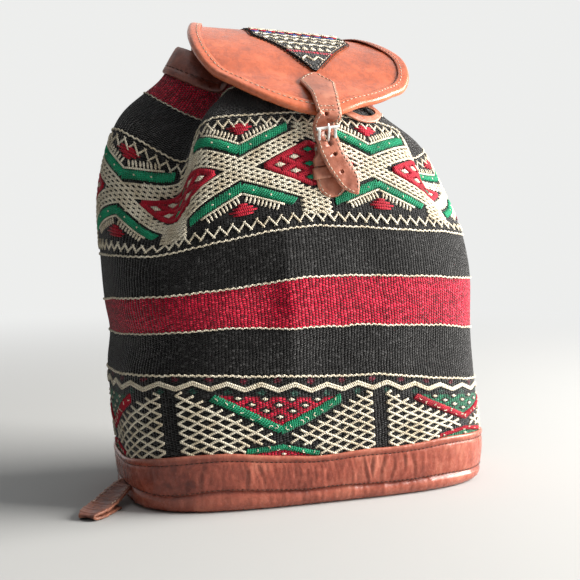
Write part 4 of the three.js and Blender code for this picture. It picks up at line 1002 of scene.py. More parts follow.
def makePanel():
    count = panelSet["turns"]
    turns = 90 + 360 * np.arange(count) / count
    u = np.interp(turns, lowerTurns, lowerU)
    top = seamLine(turns) - 0.5
    section = cloth(turns, 10) * [1, 1, 0]
    outward = unit(clothNormal(turns, 10) * [1, 1, 0])
    ring = lambda out, height: section + outward * out + height[:, None] * [0, 0, 1]
    rings = []
    for part in panelSet["parts"]:
        height = top * part
        edge = np.clip(panelSet["round"] - height, 0, panelSet["round"])
        inset = panelSet["round"] - np.sqrt(panelSet["round"] ** 2 - edge ** 2)
        inset = inset + 1.9 * float(smoothStep(part, 0.72, 1.0))
        dent = 0.55 * waves(u, 9) + 0.45 * waves(u, 10, (60, 41, 29))
        out = 2.6 - inset + dent * float(smoothStep(part, 0.05, 0.4)) * (1 - 0.5 * part)
        rings.append(ring(out[:, None], height))
    rings += [ring(-0.6, top * part) for part in (1.0, 0.6, 0.3)]
    levels = len(rings)
    quad = lambda a, j, k: [a * count + j, a * count + k, (a + 1) * count + k, (a + 1) * count + j]
    faces = [quad(a, j, (j + 1) % count) for a in range(levels - 1) for j in range(count)]
    faces.append(list(range(count))[::-1])
    faces.append([(levels - 1) * count + j for j in range(count)])
    points = np.concatenate(rings)
    return makePiece("base_leather_bottom", points, faceOut(points, faces), baseHide, "bag",
                     wear=np.repeat(panelSet["wear"], count))


baseBand = makeBand()
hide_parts("base_band")
basePanel = makePanel()
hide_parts("base_panel")


# hem folded over the mouth, open where the lace comes out: heights and distances out of its section
hemSet = {
    "turns": 432, "lace": 367.9, "holes": (248, 292), "seam": 357.2, "rubbed": (0, 1, 8, 9, 10, 11),
    "section": [(351.1, 0.8), (351.4, 1.9), (352.4, 2.5), (356, 2.5), (357.2, 2.05), (358.2, 2.5), (363, 2.5),
                (368, 2.5), (372, 2.5), (374.2, 1.9), (375, 0.4), (375, -1.8), (374.6, -4.4), (373, -6.2),
                (368, -6.4), (363, -6.4), (357, -6.4), (351.2, -6.4), (351.2, -4.2), (357, -4.2), (363, -4.2),
                (370, -4.2), (372.8, -4.0), (372.8, 0.1), (370, 0.3), (363, 0.3), (356, 0.3)],
}


def makeHem():
    turns = 90 + 360 * np.arange(hemSet["turns"]) / hemSet["turns"]
    crumple = 0.25 * waves(np.interp(turns, lowerTurns, lowerU), 21)
    grid = np.stack([cloth(turns, height, out + crumple * (out > 1)) for height, out in hemSet["section"]], 1)
    wear = [0.6 if i in hemSet["rubbed"] else 0.0 for i in range(len(hemSet["section"]))]
    # the hem takes the darker hide, painted shade under the flap
    hem = loft("top_leather_hem", grid, shadeDarkenedHemHide, "bag", wraps=True, wear=np.tile(wear, hemSet["turns"]))
    for turn in hemSet["holes"]:
        place = Vector(cloth(turn, hemSet["lace"], 0.3)) * 0.001
        axis = Vector(clothNormal(turn, hemSet["lace"]))
        startPiece()
        bpy.ops.mesh.primitive_cylinder_add(vertices=24, radius=0.0042, depth=0.0088, location=place,
                                            rotation=axis.to_track_quat("Z", "Y").to_euler())
        cutHole(hem, bpy.context.object)
    rows = clothStitches(np.linspace(90, 450, 700), hemSet["seam"], 2.35, 4.2, 3.0)
    layYarn("hem_stitches", rows, darkThread, "bag")
    return hem


topHem = makeHem()
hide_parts("top_hem")
for side in ("left", "right"):
    frame["nodes"]["eyelet_" + side].data.materials.clear()
    frame["nodes"]["eyelet_" + side].data.materials.append(eyeletBrass)
print("base and hem sewn")


# flat strips with rounded edges: centres, half width vectors and thickness
def stripSection(half, thick, normal, side, centre, edge=0.75, crown=0.0):
    t = thick / 2
    r = min(edge, t * 0.95)
    turned = lambda k, angle: (k, math.cos(math.radians(angle)), math.sin(math.radians(angle)), 0)
    shape = [(k, 0, 1, 1) for k in (-1, -0.5, 0, 0.5, 1)] + [turned(1, angle) for angle in (45, 0, -45)]
    shape += [(k, 0, -1, 1) for k in (1, 0.5, 0, -0.5, -1)] + [turned(-1, angle) for angle in (225, 180, 135)]
    points = []
    for k, out, up, flat in shape:
        a = k * np.maximum(half - r, 0.15) + out * r
        b = up * t if flat else up * r + np.sign(up) * (t - r)
        points.append(centre + side * a[:, None] + normal * (b + crown * (1 - k * k)))
    wear = [0.0 if flat and abs(k) < 1 else 0.55 if flat else 1.0 for k, _, _, flat in shape]
    return np.stack(points, 1), np.array(wear)


def makeStrip(name, rows, thick, material, body, count, crumple=0.0, edge=0.75, crown=0.0):
    rows = smoothRows(rows, count)
    centre, halfVector = rows[:, :3], rows[:, 3:6]
    half = np.linalg.norm(halfVector, axis=1)
    run = unit(np.gradient(centre, axis=0))
    side = unit(halfVector)
    normal = unit(np.cross(side, run))
    side = unit(np.cross(run, normal))
    if crumple:
        at = np.arange(count) * 1.0
        centre = centre + normal * (crumple * waves(at, 31, (17, 9.3, 5.7)))[:, None]
    grid, wear = stripSection(half, thick, normal, side, centre, edge, crown)
    piece = loft(name, grid, material, body, wear=np.tile(wear, count))
    return piece, centre, side, normal, half


# normals turned round if the one at a place looks the other way
def facing(normal, at, outward):
    return -normal if np.dot(normal[at], outward) < 0 else normal


def edgeStitches(centre, side, normal, half, thick, inset=2.0, low=0, high=None, pitch=3.4):
    rows = []
    for way in (-1, 1):
        points = centre + side * (way * np.maximum(half - inset, 0.2))[:, None]
        points = points + normal * (thick / 2 + 0.12)
        rows += stitchRow(points[low:high], normal[low:high], pitch, 2.4, 0.5, 0.4)
    return rows


# flap: its middle line from the hinge over the mouth and down the front
flapSet = {"centre": -7.0, "half": 85.5, "side": 95.0, "nose": 73.0, "thick": 2.4, "tilt": 3.5,
           "hingeHalf": 65.0, "hinge": (60.77, 345.36)}
backRim, frontRim = cloth(90, 375), cloth(270, 375)
mouthSpan = backRim[1] - frontRim[1]
flapStations = [flapSet["hinge"], (backRim[1] + 6.6, backRim[2] + 7.2),
                (backRim[1] - mouthSpan / 4, backRim[2] + 10), (backRim[1] - mouthSpan / 2, backRim[2] + 7.2)]
for height, out in ((375, 10), (351, 10), (329, 8.6), (308.5, 7.9), (288, 7.2), (267.5, 7.2)):
    flapStations.append(tuple(cloth(270, height, out)[1:]))
flapStations = np.array(flapStations)


# the same centripetal curve as the CAD flap
def flapCurve(points):
    points = np.vstack([2 * points[0] - points[1], points, 2 * points[-1] - points[-2]])
    samples = []
    for k in range(1, len(points) - 2):
        p0, p1, p2, p3 = points[k - 1:k + 3]
        d0, d1, d2 = (max(np.linalg.norm(b - a), 1e-6) ** 0.5 for a, b in ((p0, p1), (p1, p2), (p2, p3)))
        t1 = ((p1 - p0) / d0 - (p2 - p0) / (d0 + d1) + (p2 - p1) / d1) * d1
        t2 = ((p2 - p1) / d1 - (p3 - p1) / (d1 + d2) + (p3 - p2) / d2) * d1
        f = np.linspace(0, 1, 120, endpoint=False)[:, None]
        square, cube = -3 * p1 + 3 * p2 - 2 * t1 - t2, 2 * p1 - 2 * p2 + t1 + t2
        samples.append(p1 + t1 * f + square * f ** 2 + cube * f ** 3)
    return np.vstack(samples + [points[-2:-1]])


flapLine = flapCurve(flapStations)
flapAlong = arcLength(flapLine)
flapTangent = unit(np.gradient(flapLine, axis=0))


def flapFace(x, along, out):
    x, along, out = alike(x, along, out)
    y, z = (np.interp(along, flapAlong, flapLine[:, k]) for k in (0, 1))
    ty, tz = (np.interp(along, flapAlong, flapTangent[:, k]) for k in (0, 1))
    z = z - ty * out - smoothStep(along, 0, 47.5) * flapSet["tilt"] * x / flapSet["half"]
    return np.stack([flapSet["centre"] + x, y + tz * out, z], -1)


def flapNormal(x, along):
    across = flapFace(x + 0.5, along, 0) - flapFace(x - 0.5, along, 0)
    down = flapFace(x, along + 0.5, 0) - flapFace(x, along - 0.5, 0)
    normal = unit(np.cross(across, down))
    outward = flapFace(x, along, 1) - flapFace(x, along, 0)
    return np.where((np.sum(outward * normal, -1) < 0)[..., None], -normal, normal)


def flapStitches(x, along, out, pitch, length, wide=0.42, tall=0.36):
    return stitchRow(flapFace(x, along, out), flapNormal(x, along), pitch, length, wide, tall)


def flapTaper(along):
    least = flapSet["hingeHalf"]
    return least + (flapSet["half"] - least) * smoothStep(along, 0, flapSet["side"])


# the front edge is cut a little shorter on its right
def flapTrim(x):
    return 6.5 * smoothStep(x, 2, 32) * (1 - smoothStep(x, 58, 85))


def makeFlap():
    columns = flapSet["half"] * np.sin(np.linspace(-1, 1, 61) * math.pi / 2)
    nose = flapSet["nose"] * np.sqrt(np.maximum(1 - (columns / flapSet["half"]) ** 2, 0))
    reach = flapSet["side"] + nose - flapTrim(columns)
    along = np.linspace(0, 1, 66)[None, :] * reach[:, None]
    x = columns[:, None] * flapTaper(along) / flapSet["half"]
    swell = 0.35 * np.sin(x / 19 + along / 27) + 0.25 * np.sin(x / 11 - along / 16 + 1)
    swell = swell * smoothStep(along, 10, 40) * (1 - smoothStep(along / reach[:, None], 0.8, 0.95))
    outer, inner = (flapFace(x, along, out + swell) for out in (flapSet["thick"] / 2, -flapSet["thick"] / 2))
    return wall("flap_leather_panel", outer, inner, flapHide, "flap", wear=np.zeros(x.size))


flapPanel = makeFlap()


# rolled seam at the hinge, sewn into the flap's back edge
def makeBead():
    at = np.linspace(-flapSet["hingeHalf"], flapSet["hingeHalf"], 60)
    turn = np.linspace(0, 2 * math.pi, 12, endpoint=False)[None, :]
    size = 2.45 * np.sqrt(np.clip(1 - (np.abs(at) / 65.4) ** 24, 0.02, 1))[:, None]
    y, z = flapSet["hinge"]
    ring = alike(flapSet["centre"] + at[:, None], y + size * np.cos(turn), z + size * np.sin(turn))
    grid = np.stack(ring, -1)
    loft("flap_hinge_roll", grid, flapHide, "flap", wear=np.zeros(grid.size // 3))


makeBead()
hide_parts("flap_leather")

bindingSet = {"start": 20.0, "lap": 8.0, "gap": 0.6, "thick": 1.2}


def bindingEdge(count):
    straight = np.linspace(bindingSet["start"], flapSet["side"], count)
    angle = np.radians(np.linspace(180, 0, 4 * count)[1:-1])
    x = flapSet["half"] * np.cos(angle)
    along = flapSet["side"] + flapSet["nose"] * np.sin(angle) - flapTrim(x)
    inward = unit(np.stack([np.gradient(along), -np.gradient(x)], -1))
    left = np.stack([-flapTaper(straight), straight, np.ones(count), np.zeros(count)], -1)
    right = np.stack([flapTaper(straight[::-1]), straight[::-1], -np.ones(count), np.zeros(count)], -1)
    return np.vstack([left, np.column_stack([x, along, inward]), right])


def makeBinding():
    edge = bindingEdge(40)
    reach, grow = bindingSet["lap"], bindingSet["thick"]
    low = flapSet["thick"] / 2 + bindingSet["gap"]
    high = low + grow
    section = [(reach, low + 0.3), (reach, high - 0.35), (7.6, high), (6, high), (4.6, high - 0.12),
               (3, high + 0.1), (1, high)]
    for angle in np.linspace(90, -90, 9):
        a = math.radians(angle)
        section.append((0.9 - (0.9 + bindingSet["gap"] + grow) * math.cos(a), high * math.sin(a)))
    section += [(1, -high), (4, -high), (7.6, -high), (reach, -high + 0.35), (reach, -low)]
    for angle in np.linspace(-90, 90, 7):
        a = math.radians(angle)
        section.append((0.9 - (0.9 + bindingSet["gap"]) * math.cos(a), low * math.sin(a)))
    grid = []
    for lap, out in section:
        grid.append(flapFace(edge[:, 0] + edge[:, 2] * lap, edge[:, 1] + edge[:, 3] * lap, out))
    wear = np.array([0.8 if lap < 0.6 else 0.45 if lap > 7 else 0.1 for lap, _ in section])
    binding = loft("flap_leather_binding", np.stack(grid, 1), flapHide, "flap",
                   wear=np.tile(wear, len(edge)))
    rows = flapStitches(edge[:, 0] + edge[:, 2] * 5.2, edge[:, 1] + edge[:, 3] * 5.2, high, 4.2, 2.9)
    layYarn("flap_binding_stitches", rows, sewingThread, "flap")
    return binding


flapBinding = makeBinding()
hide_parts("flap_binding")


# kilim tongue on the flap
insetSet = {"half": 40.0, "start": 16.0, "side": 66.0, "point": 119.0, "out": 3.0, "in": 1.8,
            "rows": [(30, "charcoal"), (36, "crimson"), (48, "charcoal"), (53, "bottle"), (58, "charcoal"),
                     (95.5, "charcoal"), (98, "crimson"), (120, "charcoal")]}


def insetShift(along):
    return 12 - 7.5 * (np.asarray(along, float) - insetSet["start"]) / (insetSet["point"] - insetSet["start"])


def insetHalf(along):
    narrowing = (insetSet["point"] - along) / (insetSet["point"] - insetSet["side"]) + 0.02
    return insetSet["half"] * np.minimum(1, narrowing)


def makeInset():
    along = np.concatenate([np.linspace(insetSet["start"], insetSet["side"], 40),
                            np.linspace(insetSet["side"], insetSet["point"], 44)[1:]])
    f = np.linspace(-1, 1, 49)
    x = f[None, :] * insetHalf(along)[:, None] + insetShift(along)[:, None]
    grid = np.broadcast_to(along[:, None], x.shape)
    rounding = 0.5 * smoothStep(np.abs(f), 0.95, 1)[None, :]
    outer, inner = flapFace(x, grid, insetSet["out"] - rounding), flapFace(x, grid, insetSet["in"])
    tops = np.array([top for top, _ in insetSet["rows"]])
    tones = np.array([kilimSet[tone] for _, tone in insetSet["rows"]])
    colour = tones[np.clip(np.searchsorted(tops, grid), 0, len(tops) - 1)].reshape(-1, 3)
    colour = np.concatenate([colour, np.ones((len(colour), 1))], 1)
    uv = np.stack([x, grid], -1).reshape(-1, 2)
    inset = wall("flap_kilim_tongue", outer, inner, kilimWool, "flap", uv=uv, colour=colour)
    light, blue, red = [], [], []

    def lay(rows, xs, alongs, wide, tall=0.6):
        xs, alongs = alike(xs, alongs)
        xs = xs + insetShift(alongs)
        rows.append((flapFace(xs, alongs, insetSet["out"] + 0.25), flapNormal(xs, alongs), wide, tall))

    halfLess = lambda level, less: float(insetHalf(np.float64(level))) - less

    for level, period, rise, wide in ((104.5, 9.5, 2.4, 1.0), (72.5, 8.0, 1.9, 1.3), (40.0, 9.0, 2.4, 0.9)):
        half = halfLess(level, 3)
        xs = np.arange(-half, half, 1.0)
        lay(light, xs, level + rise * (4 * np.abs((xs / period) % 1 - 0.5) - 1), wide, 0.75)
    for level, wide in ((82.5, 1.25), (63.5, 0.8), (47.0, 0.7), (27.0, 0.7)):
        half = halfLess(level, 2.5)
        xs = np.arange(-half, half, 1.2)
        lay(light, xs, level + 0.8 * np.sin(xs / 1.3), wide, 0.75)
    half = halfLess(91.0, 2.5)
    for x in np.arange(-half + 3, half - 2, 6.4):
        for k, wide in ((0, 2.7), (1.5, 1.8), (3.0, 0.9)):
            across = x + np.array([-1, -0.3, 0.3, 1]) * wide
            lay(light, across, 92.5 - k, np.array([0.5, 0.9, 0.9, 0.5]))
    for level, rows, step in ((57.0, blue, 10.5), (52.0, red, 7.5), (33.0, blue, 7.5)):
        half = halfLess(level, 4)
        for x in np.arange(-half, half, step):
            lay(rows, x + np.linspace(-3.4, 3.4, 5), level, np.array([0.4, 1.6, 2.1, 1.6, 0.4]))
    yarns = [layYarn("tongue_cream_yarn", light, creamYarn, "flap"),
             layYarn("tongue_blue_yarn", blue, blueYarn, "flap"),
             layYarn("tongue_red_yarn", red, redYarn, "flap")]
    stitches, seams = [], []
    for way in (-1, 1):
        line = np.linspace(insetSet["start"] + 1, insetSet["point"] - 3, 120)
        xs = way * (insetHalf(line) - 1.6) + insetShift(line)
        stitches += flapStitches(xs, line, insetSet["out"] + 0.1, 4.0, 2.8)
        xs = way * (insetHalf(line) + 1.9) + insetShift(line)
        seams += flapStitches(xs, line, 1.75, 3.4, 2.5, 0.5, 0.5)
    layYarn("tongue_seam", seams, darkThread, "flap")
    return inset, yarns, layYarn("tongue_stitches", stitches, sewingThread, "flap")


flapInset, insetYarns, insetThread = makeInset()
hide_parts("flap_inset")
print("flap bound")


# local frames of the buckles: x along the bar, y towards the far side, z out from the bag
def axesFrame(place, x, y, z):
    turning = Matrix((Vector(x), Vector(y), Vector(z))).transposed().to_4x4()
    return turning, np.array(place), np.array([x, y, z], float)


closureFrame = axesFrame((-6.97, -74.78, 259.94), (0.98965, 0.0397, 0.13787), (-0.14197, 0.13203, 0.98103),
                         (0.02074, -0.99045, 0.1363))
leftFrame = axesFrame((-52.98, 81.56, 141.47), (0.99831, 0.05811, 0), (0.00035, -0.00605, -0.99998),
                      (-0.05811, 0.99829, -0.00606))
rightFrame = axesFrame((15.55, 82.36, 143.06), (0.9999, -0.01438, 0), (0, 0.00014, -1),
                       (0.01438, 0.9999, 0.00014))


def local(axes, x, y, z):
    return axes[1] + np.stack(alike(x, y, z), -1) @ axes[2]


# where a thing made at the origin stands on a buckle's axes
def placing(axes, place):
    return Matrix.Translation(Vector(place) * 0.001) @ axes[0]


# closing strap: shield sewn on the flap, over its edge, behind the frame's far bar and down over the tab
# on the flap: x, place along it, gap, half width; at the buckle: x, y, z, half width, skew
strapSet = {
    "thick": 2.0, "count": 150,
    "onFlap": [(2.5, 121.8, 0.6, 0.8), (2.2, 124, 0.6, 4.5), (1.5, 129.5, 0.6, 10.2), (1, 135.5, 0.6, 13.4),
               (0.5, 143, 0.9, 12.2), (-0.3, 155, 3.0, 10.4), (-0.5, 163, 3.1, 9.8), (-0.3, 170.2, 3.9, 9.3)],
    "atBuckle": [(0, 19.4, 4.9, 8.75, 0), (0, 16.4, 1.2, 8.75, 0), (0, 13, 0.4, 8.75, 0),
                 (0, 8.5, 0.6, 8.75, 0), (0, 4.2, 2.6, 8.75, 3), (0, 0, 4, 8.75, 8), (2.6, -9, 3.6, 8.75, 20),
                 (7.4, -18, 2.8, 8.75, 24), (11.6, -26, 2.3, 8.4, 24), (14.3, -31.5, 1.6, 5.6, 24),
                 (16.8, -36.6, 0.94, 0.9, 24)],
    "holes": [(0, 5.8, 0.8, 4.1), (2.68, -6.2, 1, 1), (6.35, -19.2, 1, 1), (-0.2, 22.6, 1, 1)],
    "crossRows": (57, 61),
}


def makeClosureStrap():
    rows = [[*flapFace(x, along, 2.2 + gap), half, 0, 0] for x, along, gap, half in strapSet["onFlap"]]
    for x, y, z, half, skew in strapSet["atBuckle"]:
        skew = math.radians(skew)
        direction = np.array([math.cos(skew), math.sin(skew), 0]) @ closureFrame[2]
        rows.append([*local(closureFrame, x, y, z + 1), *(half * direction)])
    strap, centre, side, normal, half = makeStrip(
        "closing_strap", rows, strapSet["thick"], strapHide, "flap", strapSet["count"])
    for x, y, wide, tall in strapSet["holes"]:
        startPiece()
        bpy.ops.mesh.primitive_cylinder_add(vertices=20, radius=0.0015, depth=0.016)
        cutter = bpy.context.object
        place = placing(closureFrame, local(closureFrame, x, y, 6.0))
        cutter.data.transform(place @ Matrix.Diagonal((wide, tall, 1, 1)))
        cutHole(strap, cutter)
    normal = facing(normal, 20, (0, -1, 0))
    rows = edgeStitches(centre, side, normal, half, strapSet["thick"], 1.9, 2, strapSet["count"] - 4)
    for at in strapSet["crossRows"]:
        across = np.linspace(-half[at] + 2.4, half[at] - 2.4, 30)[:, None]
        line = centre[at] + side[at] * across + normal[at] * 1.1
        rows += stitchRow(line, np.tile(normal[at], (30, 1)), 3.0, 2.2, 0.4, 0.34)
    layYarn("closing_strap_stitches", rows, sewingThread, "flap")
    return strap


closingStrap = makeClosureStrap()
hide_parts("closure_strap")


# a leather end folded round a bar: down behind it, round it and back to lie on itself
def foldRows(axes, radius, low, lapEnd, halfAt, back):
    path = [(y, -back) for y in np.linspace(low, -1, 16)]
    path += [(radius * math.sin(a), -radius * math.cos(a)) for a in np.radians(np.linspace(8, 172, 9))]
    path += [(-1, radius), (-4, radius - 0.2), (-7, 0.4 * radius), (-9.6, -back + 2.25),
             (lapEnd, -back + 2.25)]
    return [[*local(axes, 0, y, z), *(halfAt(y) * axes[2][0])] for y, z in path]


# tab on the front: round at its lower end, narrow where it goes round the bar
tabSet = {"thick": 2.1, "half": 11.5, "neck": 8.7, "flare": 2.8, "roundFrom": -24.5, "back": 2.6,
          "count": 120, "rows": (-36, -35.7, -35, -34, -32.4, -30, -27, -24.5, -20, -14, -9)}


def tabHalf(y):
    half, past = tabSet["half"], y - tabSet["roundFrom"]
    if past < 0:
        return max(half * math.sqrt(max(1 - (past / half) ** 2, 0)), 0.8)
    return tabSet["neck"] + tabSet["flare"] * float(smoothStep(-y, 3.4, 7.6))


def makeTab():
    rows = []
    for y in tabSet["rows"]:
        rows.append([*local(closureFrame, 0, y, -tabSet["back"]), *(tabHalf(y) * closureFrame[2][0])])
    rows += foldRows(closureFrame, 2.62, -7.4, -12.4, tabHalf, tabSet["back"])
    tab, centre, side, normal, half = makeStrip(
        "closing_tab", rows, tabSet["thick"], strapHide, "bag", tabSet["count"], edge=0.7)
    normal = facing(normal, 10, closureFrame[2][2])
    rows = edgeStitches(centre, side, normal, half, tabSet["thick"], 1.9, 2, 58)
    layYarn("closing_tab_stitches", rows, sewingThread, "bag")
    return tab


closingTab = makeTab()
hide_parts("closure_tab")


# loop of leather round a strap, square with soft corners
keeperSet = {
    "closing": {"high": -13.3, "tall": 8.5, "halfIn": 11.8, "front": -1.2, "back": -3.7, "sheet": 1.54},
    "shoulder": {"high": -16, "tall": 8.5, "halfIn": 12.6, "front": 1.0, "back": -4.3, "sheet": 1.54},
}


def makeKeeper(name, axes, body, high, tall, halfIn, front, back, sheet, openBack=False):
    section = [(0.5, 0.0), (0.42, 0.85), (0.2, 1), (-0.2, 1), (-0.42, 0.85), (-0.5, 0.0), (-0.42, -0.85),
               (-0.2, -1), (0.2, -1), (0.42, -0.85)]
    r = sheet
    wide = halfIn + sheet / 2
    top, low = front + sheet / 2, back - (0 if openBack else sheet / 2)
    bends = [(-wide + r, top - r, 180), (wide - r, top - r, 90), (wide - r, low + r, 0),
             (-wide + r, low + r, -90)]
    sides = [[(way * wide, level, way, 0) for level in (low, (low + top) / 2)] for way in (-1, 1)]
    corners = sides[0] if openBack else []
    for x, z, start in bends[:2] if openBack else bends:
        for angle in (0, -30, -60, -90):
            a = math.radians(start + angle)
            corners.append((x + r * math.cos(a), z + r * math.sin(a), math.cos(a), math.sin(a)))
        if start == 180:
            corners += [(f * (wide - r), top, 0, 1) for f in (-0.5, 0, 0.5)]
    corners += sides[1][::-1] if openBack else []
    grid = []
    for x, z, nx, nz in corners:
        grid.append([local(axes, x + nx * b * sheet / 2, high - tall / 2 + a * tall, z + nz * b * sheet / 2)
                     for a, b in section])
    wear = np.tile([1.0, 0.9, 0.2, 0.2, 0.9, 1.0, 0.9, 0.2, 0.2, 0.9], len(corners))
    return loft(name, np.array(grid), strapHide, body, wraps=not openBack, wear=wear)


closingKeeper = makeKeeper("closing_keeper", closureFrame, "bag", **keeperSet["closing"], openBack=True)
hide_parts("closure_keeper")

# flat leather lace tied in a bow under the flap
laceSet = {"bowX": 2.0, "bowHeight": 308.5, "wide": 2.9, "thick": 1.5, "lift": 2.3, "cord": 1.4}
bowLines = {
    "right": [(0, -2), (4, -10), (12, -17), (22, -20), (33, -17), (39, -9), (35, -2), (22, 2), (5, 1)],
    "left": [(-2, 0), (-14, 5), (-25, 4), (-27, -3), (-16, -4), (-2, -1)],
    "tail": [(-2, -2), (-8, -9), (-16, -14)],
}


def makeLace():
    pieces, paths = [], []
    for name, line in bowLines.items():
        rows = []
        for k, (x, height) in enumerate(line):
            h = laceSet["bowHeight"] + height
            turn = turnAtX(laceSet["bowX"] + x, h, True)
            ahead = np.subtract(line[min(k + 1, len(line) - 1)], line[max(k - 1, 0)])
            tangent = unit(np.array([ahead[0], 0, ahead[1]]))
            across = unit(np.cross(tangent, clothNormal(turn, h)))
            rows.append([*cloth(turn, h, laceSet["lift"] + 0.2 * k), *(laceSet["wide"] * across)])
        strip = makeStrip("lace_bow_" + name, rows, laceSet["thick"], strapHide, "bag", 12 * len(line),
                          edge=0.5)
        pieces.append(strip[0])
        paths.append(strip[1] * 0.001)
    turn = turnAtX(laceSet["bowX"], laceSet["bowHeight"], True)
    at = cloth(turn, laceSet["bowHeight"], 2.8) * 0.001
    startPiece()
    bpy.ops.mesh.primitive_uv_sphere_add(segments=28, ring_count=18, radius=0.005, location=Vector(at))
    knot = bpy.context.object
    knot.name = "lace_knot"
    bpy.ops.object.mode_set(mode="EDIT")
    bpy.ops.mesh.select_all(action="SELECT")
    bpy.ops.transform.resize(value=(1.0, 0.46, 0.85), center_override=Vector(at))
    bpy.ops.object.mode_set(mode="OBJECT")
    bpy.ops.object.transform_apply(location=True, rotation=True, scale=True)
    ball = np.array([v.co for v in knot.data.vertices]) - at
    size = 1 - 0.1 * np.cos(ball[:, 0] * 2600 + ball[:, 2] * 900)
    knot.data.vertices.foreach_set("co", (ball * size[:, None] + at).astype(np.float32).ravel())
    bpy.ops.object.shade_smooth()
    knot.data.materials.append(strapHide)
    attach(knot, "bag")
    return pieces + [knot]


bowPieces = makeLace()
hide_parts("drawstring_bow")


def laceLead(turn, x):
    lace = hemSet["lace"]
    return [cloth(turn, lace, -1.25), cloth(turn, lace, 2.5), cloth(turn, 367.6, 5.3), cloth(turn, 357, 5.3),
            cloth(turn, 345, 3.9), cloth(turnAtX(x, 316.5, True), 316.5, 2.6)]


def makeDrawstring():
    leftHole, rightHole = hemSet["holes"]
    casing = [cloth(turn, hemSet["lace"], -1.95) for turn in np.linspace(299, 601, 41)]
    line = smoothRows(laceLead(rightHole, 4.5)[::-1] + casing + laceLead(leftHole, -0.5), 360)
    run = unit(np.gradient(line, axis=0))
    side = unit(np.cross(run, [0.05, 0.03, 1.0]))
    up = np.cross(side, run)
    turn = np.linspace(0, 2 * math.pi, 10, endpoint=False)
    grid = np.stack([line + laceSet["cord"] * (math.cos(t) * side + math.sin(t) * up) for t in turn], 1)
    return loft("drawstring_lace", grid, strapHide, "bag", wear=np.zeros(grid.size // 3))


drawLace = makeDrawstring()
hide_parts("drawstring")
print("lace tied")

# patch on the upper back and the straps
patchSet = {"turn": 46.4, "low": 316.4, "high": 350.4, "in": 0.6, "out": 2.8}


def makePatch():
    turns = np.linspace(90 - patchSet["turn"], 90 + patchSet["turn"], 121)
    heights = np.linspace(patchSet["low"], patchSet["high"], 25)
    aside, above = np.arange(121), np.arange(25)
    rim = np.minimum(np.minimum(aside, 120 - aside)[:, None], np.minimum(above, 24 - above)[None, :])
    lift = patchSet["out"] - 0.8 * (rim == 0) - 0.1 * (rim == 1)
    outer = cloth(turns[:, None], heights[None, :], lift)
    inner = cloth(turns[:, None], heights[None, :], patchSet["in"])
    wear = 0.8 * (rim < 2).ravel()
    patch = wall("back_patch", outer, inner, baseHide, "bag", wear=wear)
    rows = []
    ring = np.linspace(90 - patchSet["turn"] + 3, 90 + patchSet["turn"] - 3, 200)
    for height in (319.0, 347.8):
        rows += clothStitches(ring, height, 2.9, 4.2, 3.0)
    layYarn("back_patch_stitches", rows, sewingThread, "bag")
    return patch


backPatch = makePatch()
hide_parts("anchor_patch")
shoulderSet = {"half": 12.0, "thick": 2.15, "spacing": 26.0, "splay": 8.0, "out": 4.55, "bend": 2.9,
               "heights": [349.2, 340, 329, 308.5, 288, 266, 244, 222, 200]}


def makeShoulderStrap(sideName, sign, axes):
    topX = float(clothFace(90, 350.4)[0]) + sign * shoulderSet["spacing"]
    lowX = topX + sign * shoulderSet["splay"]
    half, heights = shoulderSet["half"], shoulderSet["heights"]
    rows = []
    for k, height in enumerate(heights):
        x = topX + (lowX - topX) * k / len(heights)
        centre, left, right = (cloth(turnAtX(x + d, height, False), height, shoulderSet["out"])
                               for d in (0, -half, half))
        rows.append([*centre, *((right - left) / 2)])
    rows[0][3:] = rows[1][3:]
    for y in (-27.05, -21):
        rows.append([*local(axes, 0, y, -shoulderSet["bend"]), *(half * axes[2][0])])
    rows += foldRows(axes, shoulderSet["bend"], -16, -13.5, lambda y: half, shoulderSet["bend"])
    strap, centre, side, normal, halves = makeStrip(
        "shoulder_strap_" + sideName, rows, shoulderSet["thick"], strapHide, "bag", 260)
    startPiece()
    bpy.ops.mesh.primitive_cube_add(size=1)
    cutter = bpy.context.object
    cutter.data.transform(placing(axes, axes[1]) @ Matrix.Diagonal((0.003, 0.0096, 0.012, 1)))
    cutHole(strap, cutter)
    normal = facing(normal, 20, (0, 1, 0))
    stitches = edgeStitches(centre, side, normal, halves, shoulderSet["thick"], 2.2, 2, 196, 4.0)
    layYarn("shoulder_stitches_" + sideName, stitches, sewingThread, "bag")
    keeper = makeKeeper("shoulder_keeper_" + sideName, axes, "bag", **keeperSet["shoulder"])
    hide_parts("strap_upper_" + sideName)
    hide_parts("strap_keeper_" + sideName)


# lower strap: out from the base along the floor and folded back; place along it, height, share of its width
lowerStrapSet = {
    "half": 9.2, "thick": 2.1, "count": 150, "crumple": 0.45, "crown": 1.1, "heading": math.radians(50),
    "path": [(-7, 13.5, 0.8), (4, 12.6, 0.9), (15, 10.2, 1), (26, 7.4, 1.06), (38, 5.6, 1.08),
             (45, 5.1, 1.02), (50.4, 4.9, 0.9), (53, 4.4, 0.76), (54, 3.4, 0.7), (53, 2.2, 0.74),
             (50.4, 1.5, 0.88), (45, 1.4, 1), (36, 1.4, 1), (22, 1.4, 1)],
}


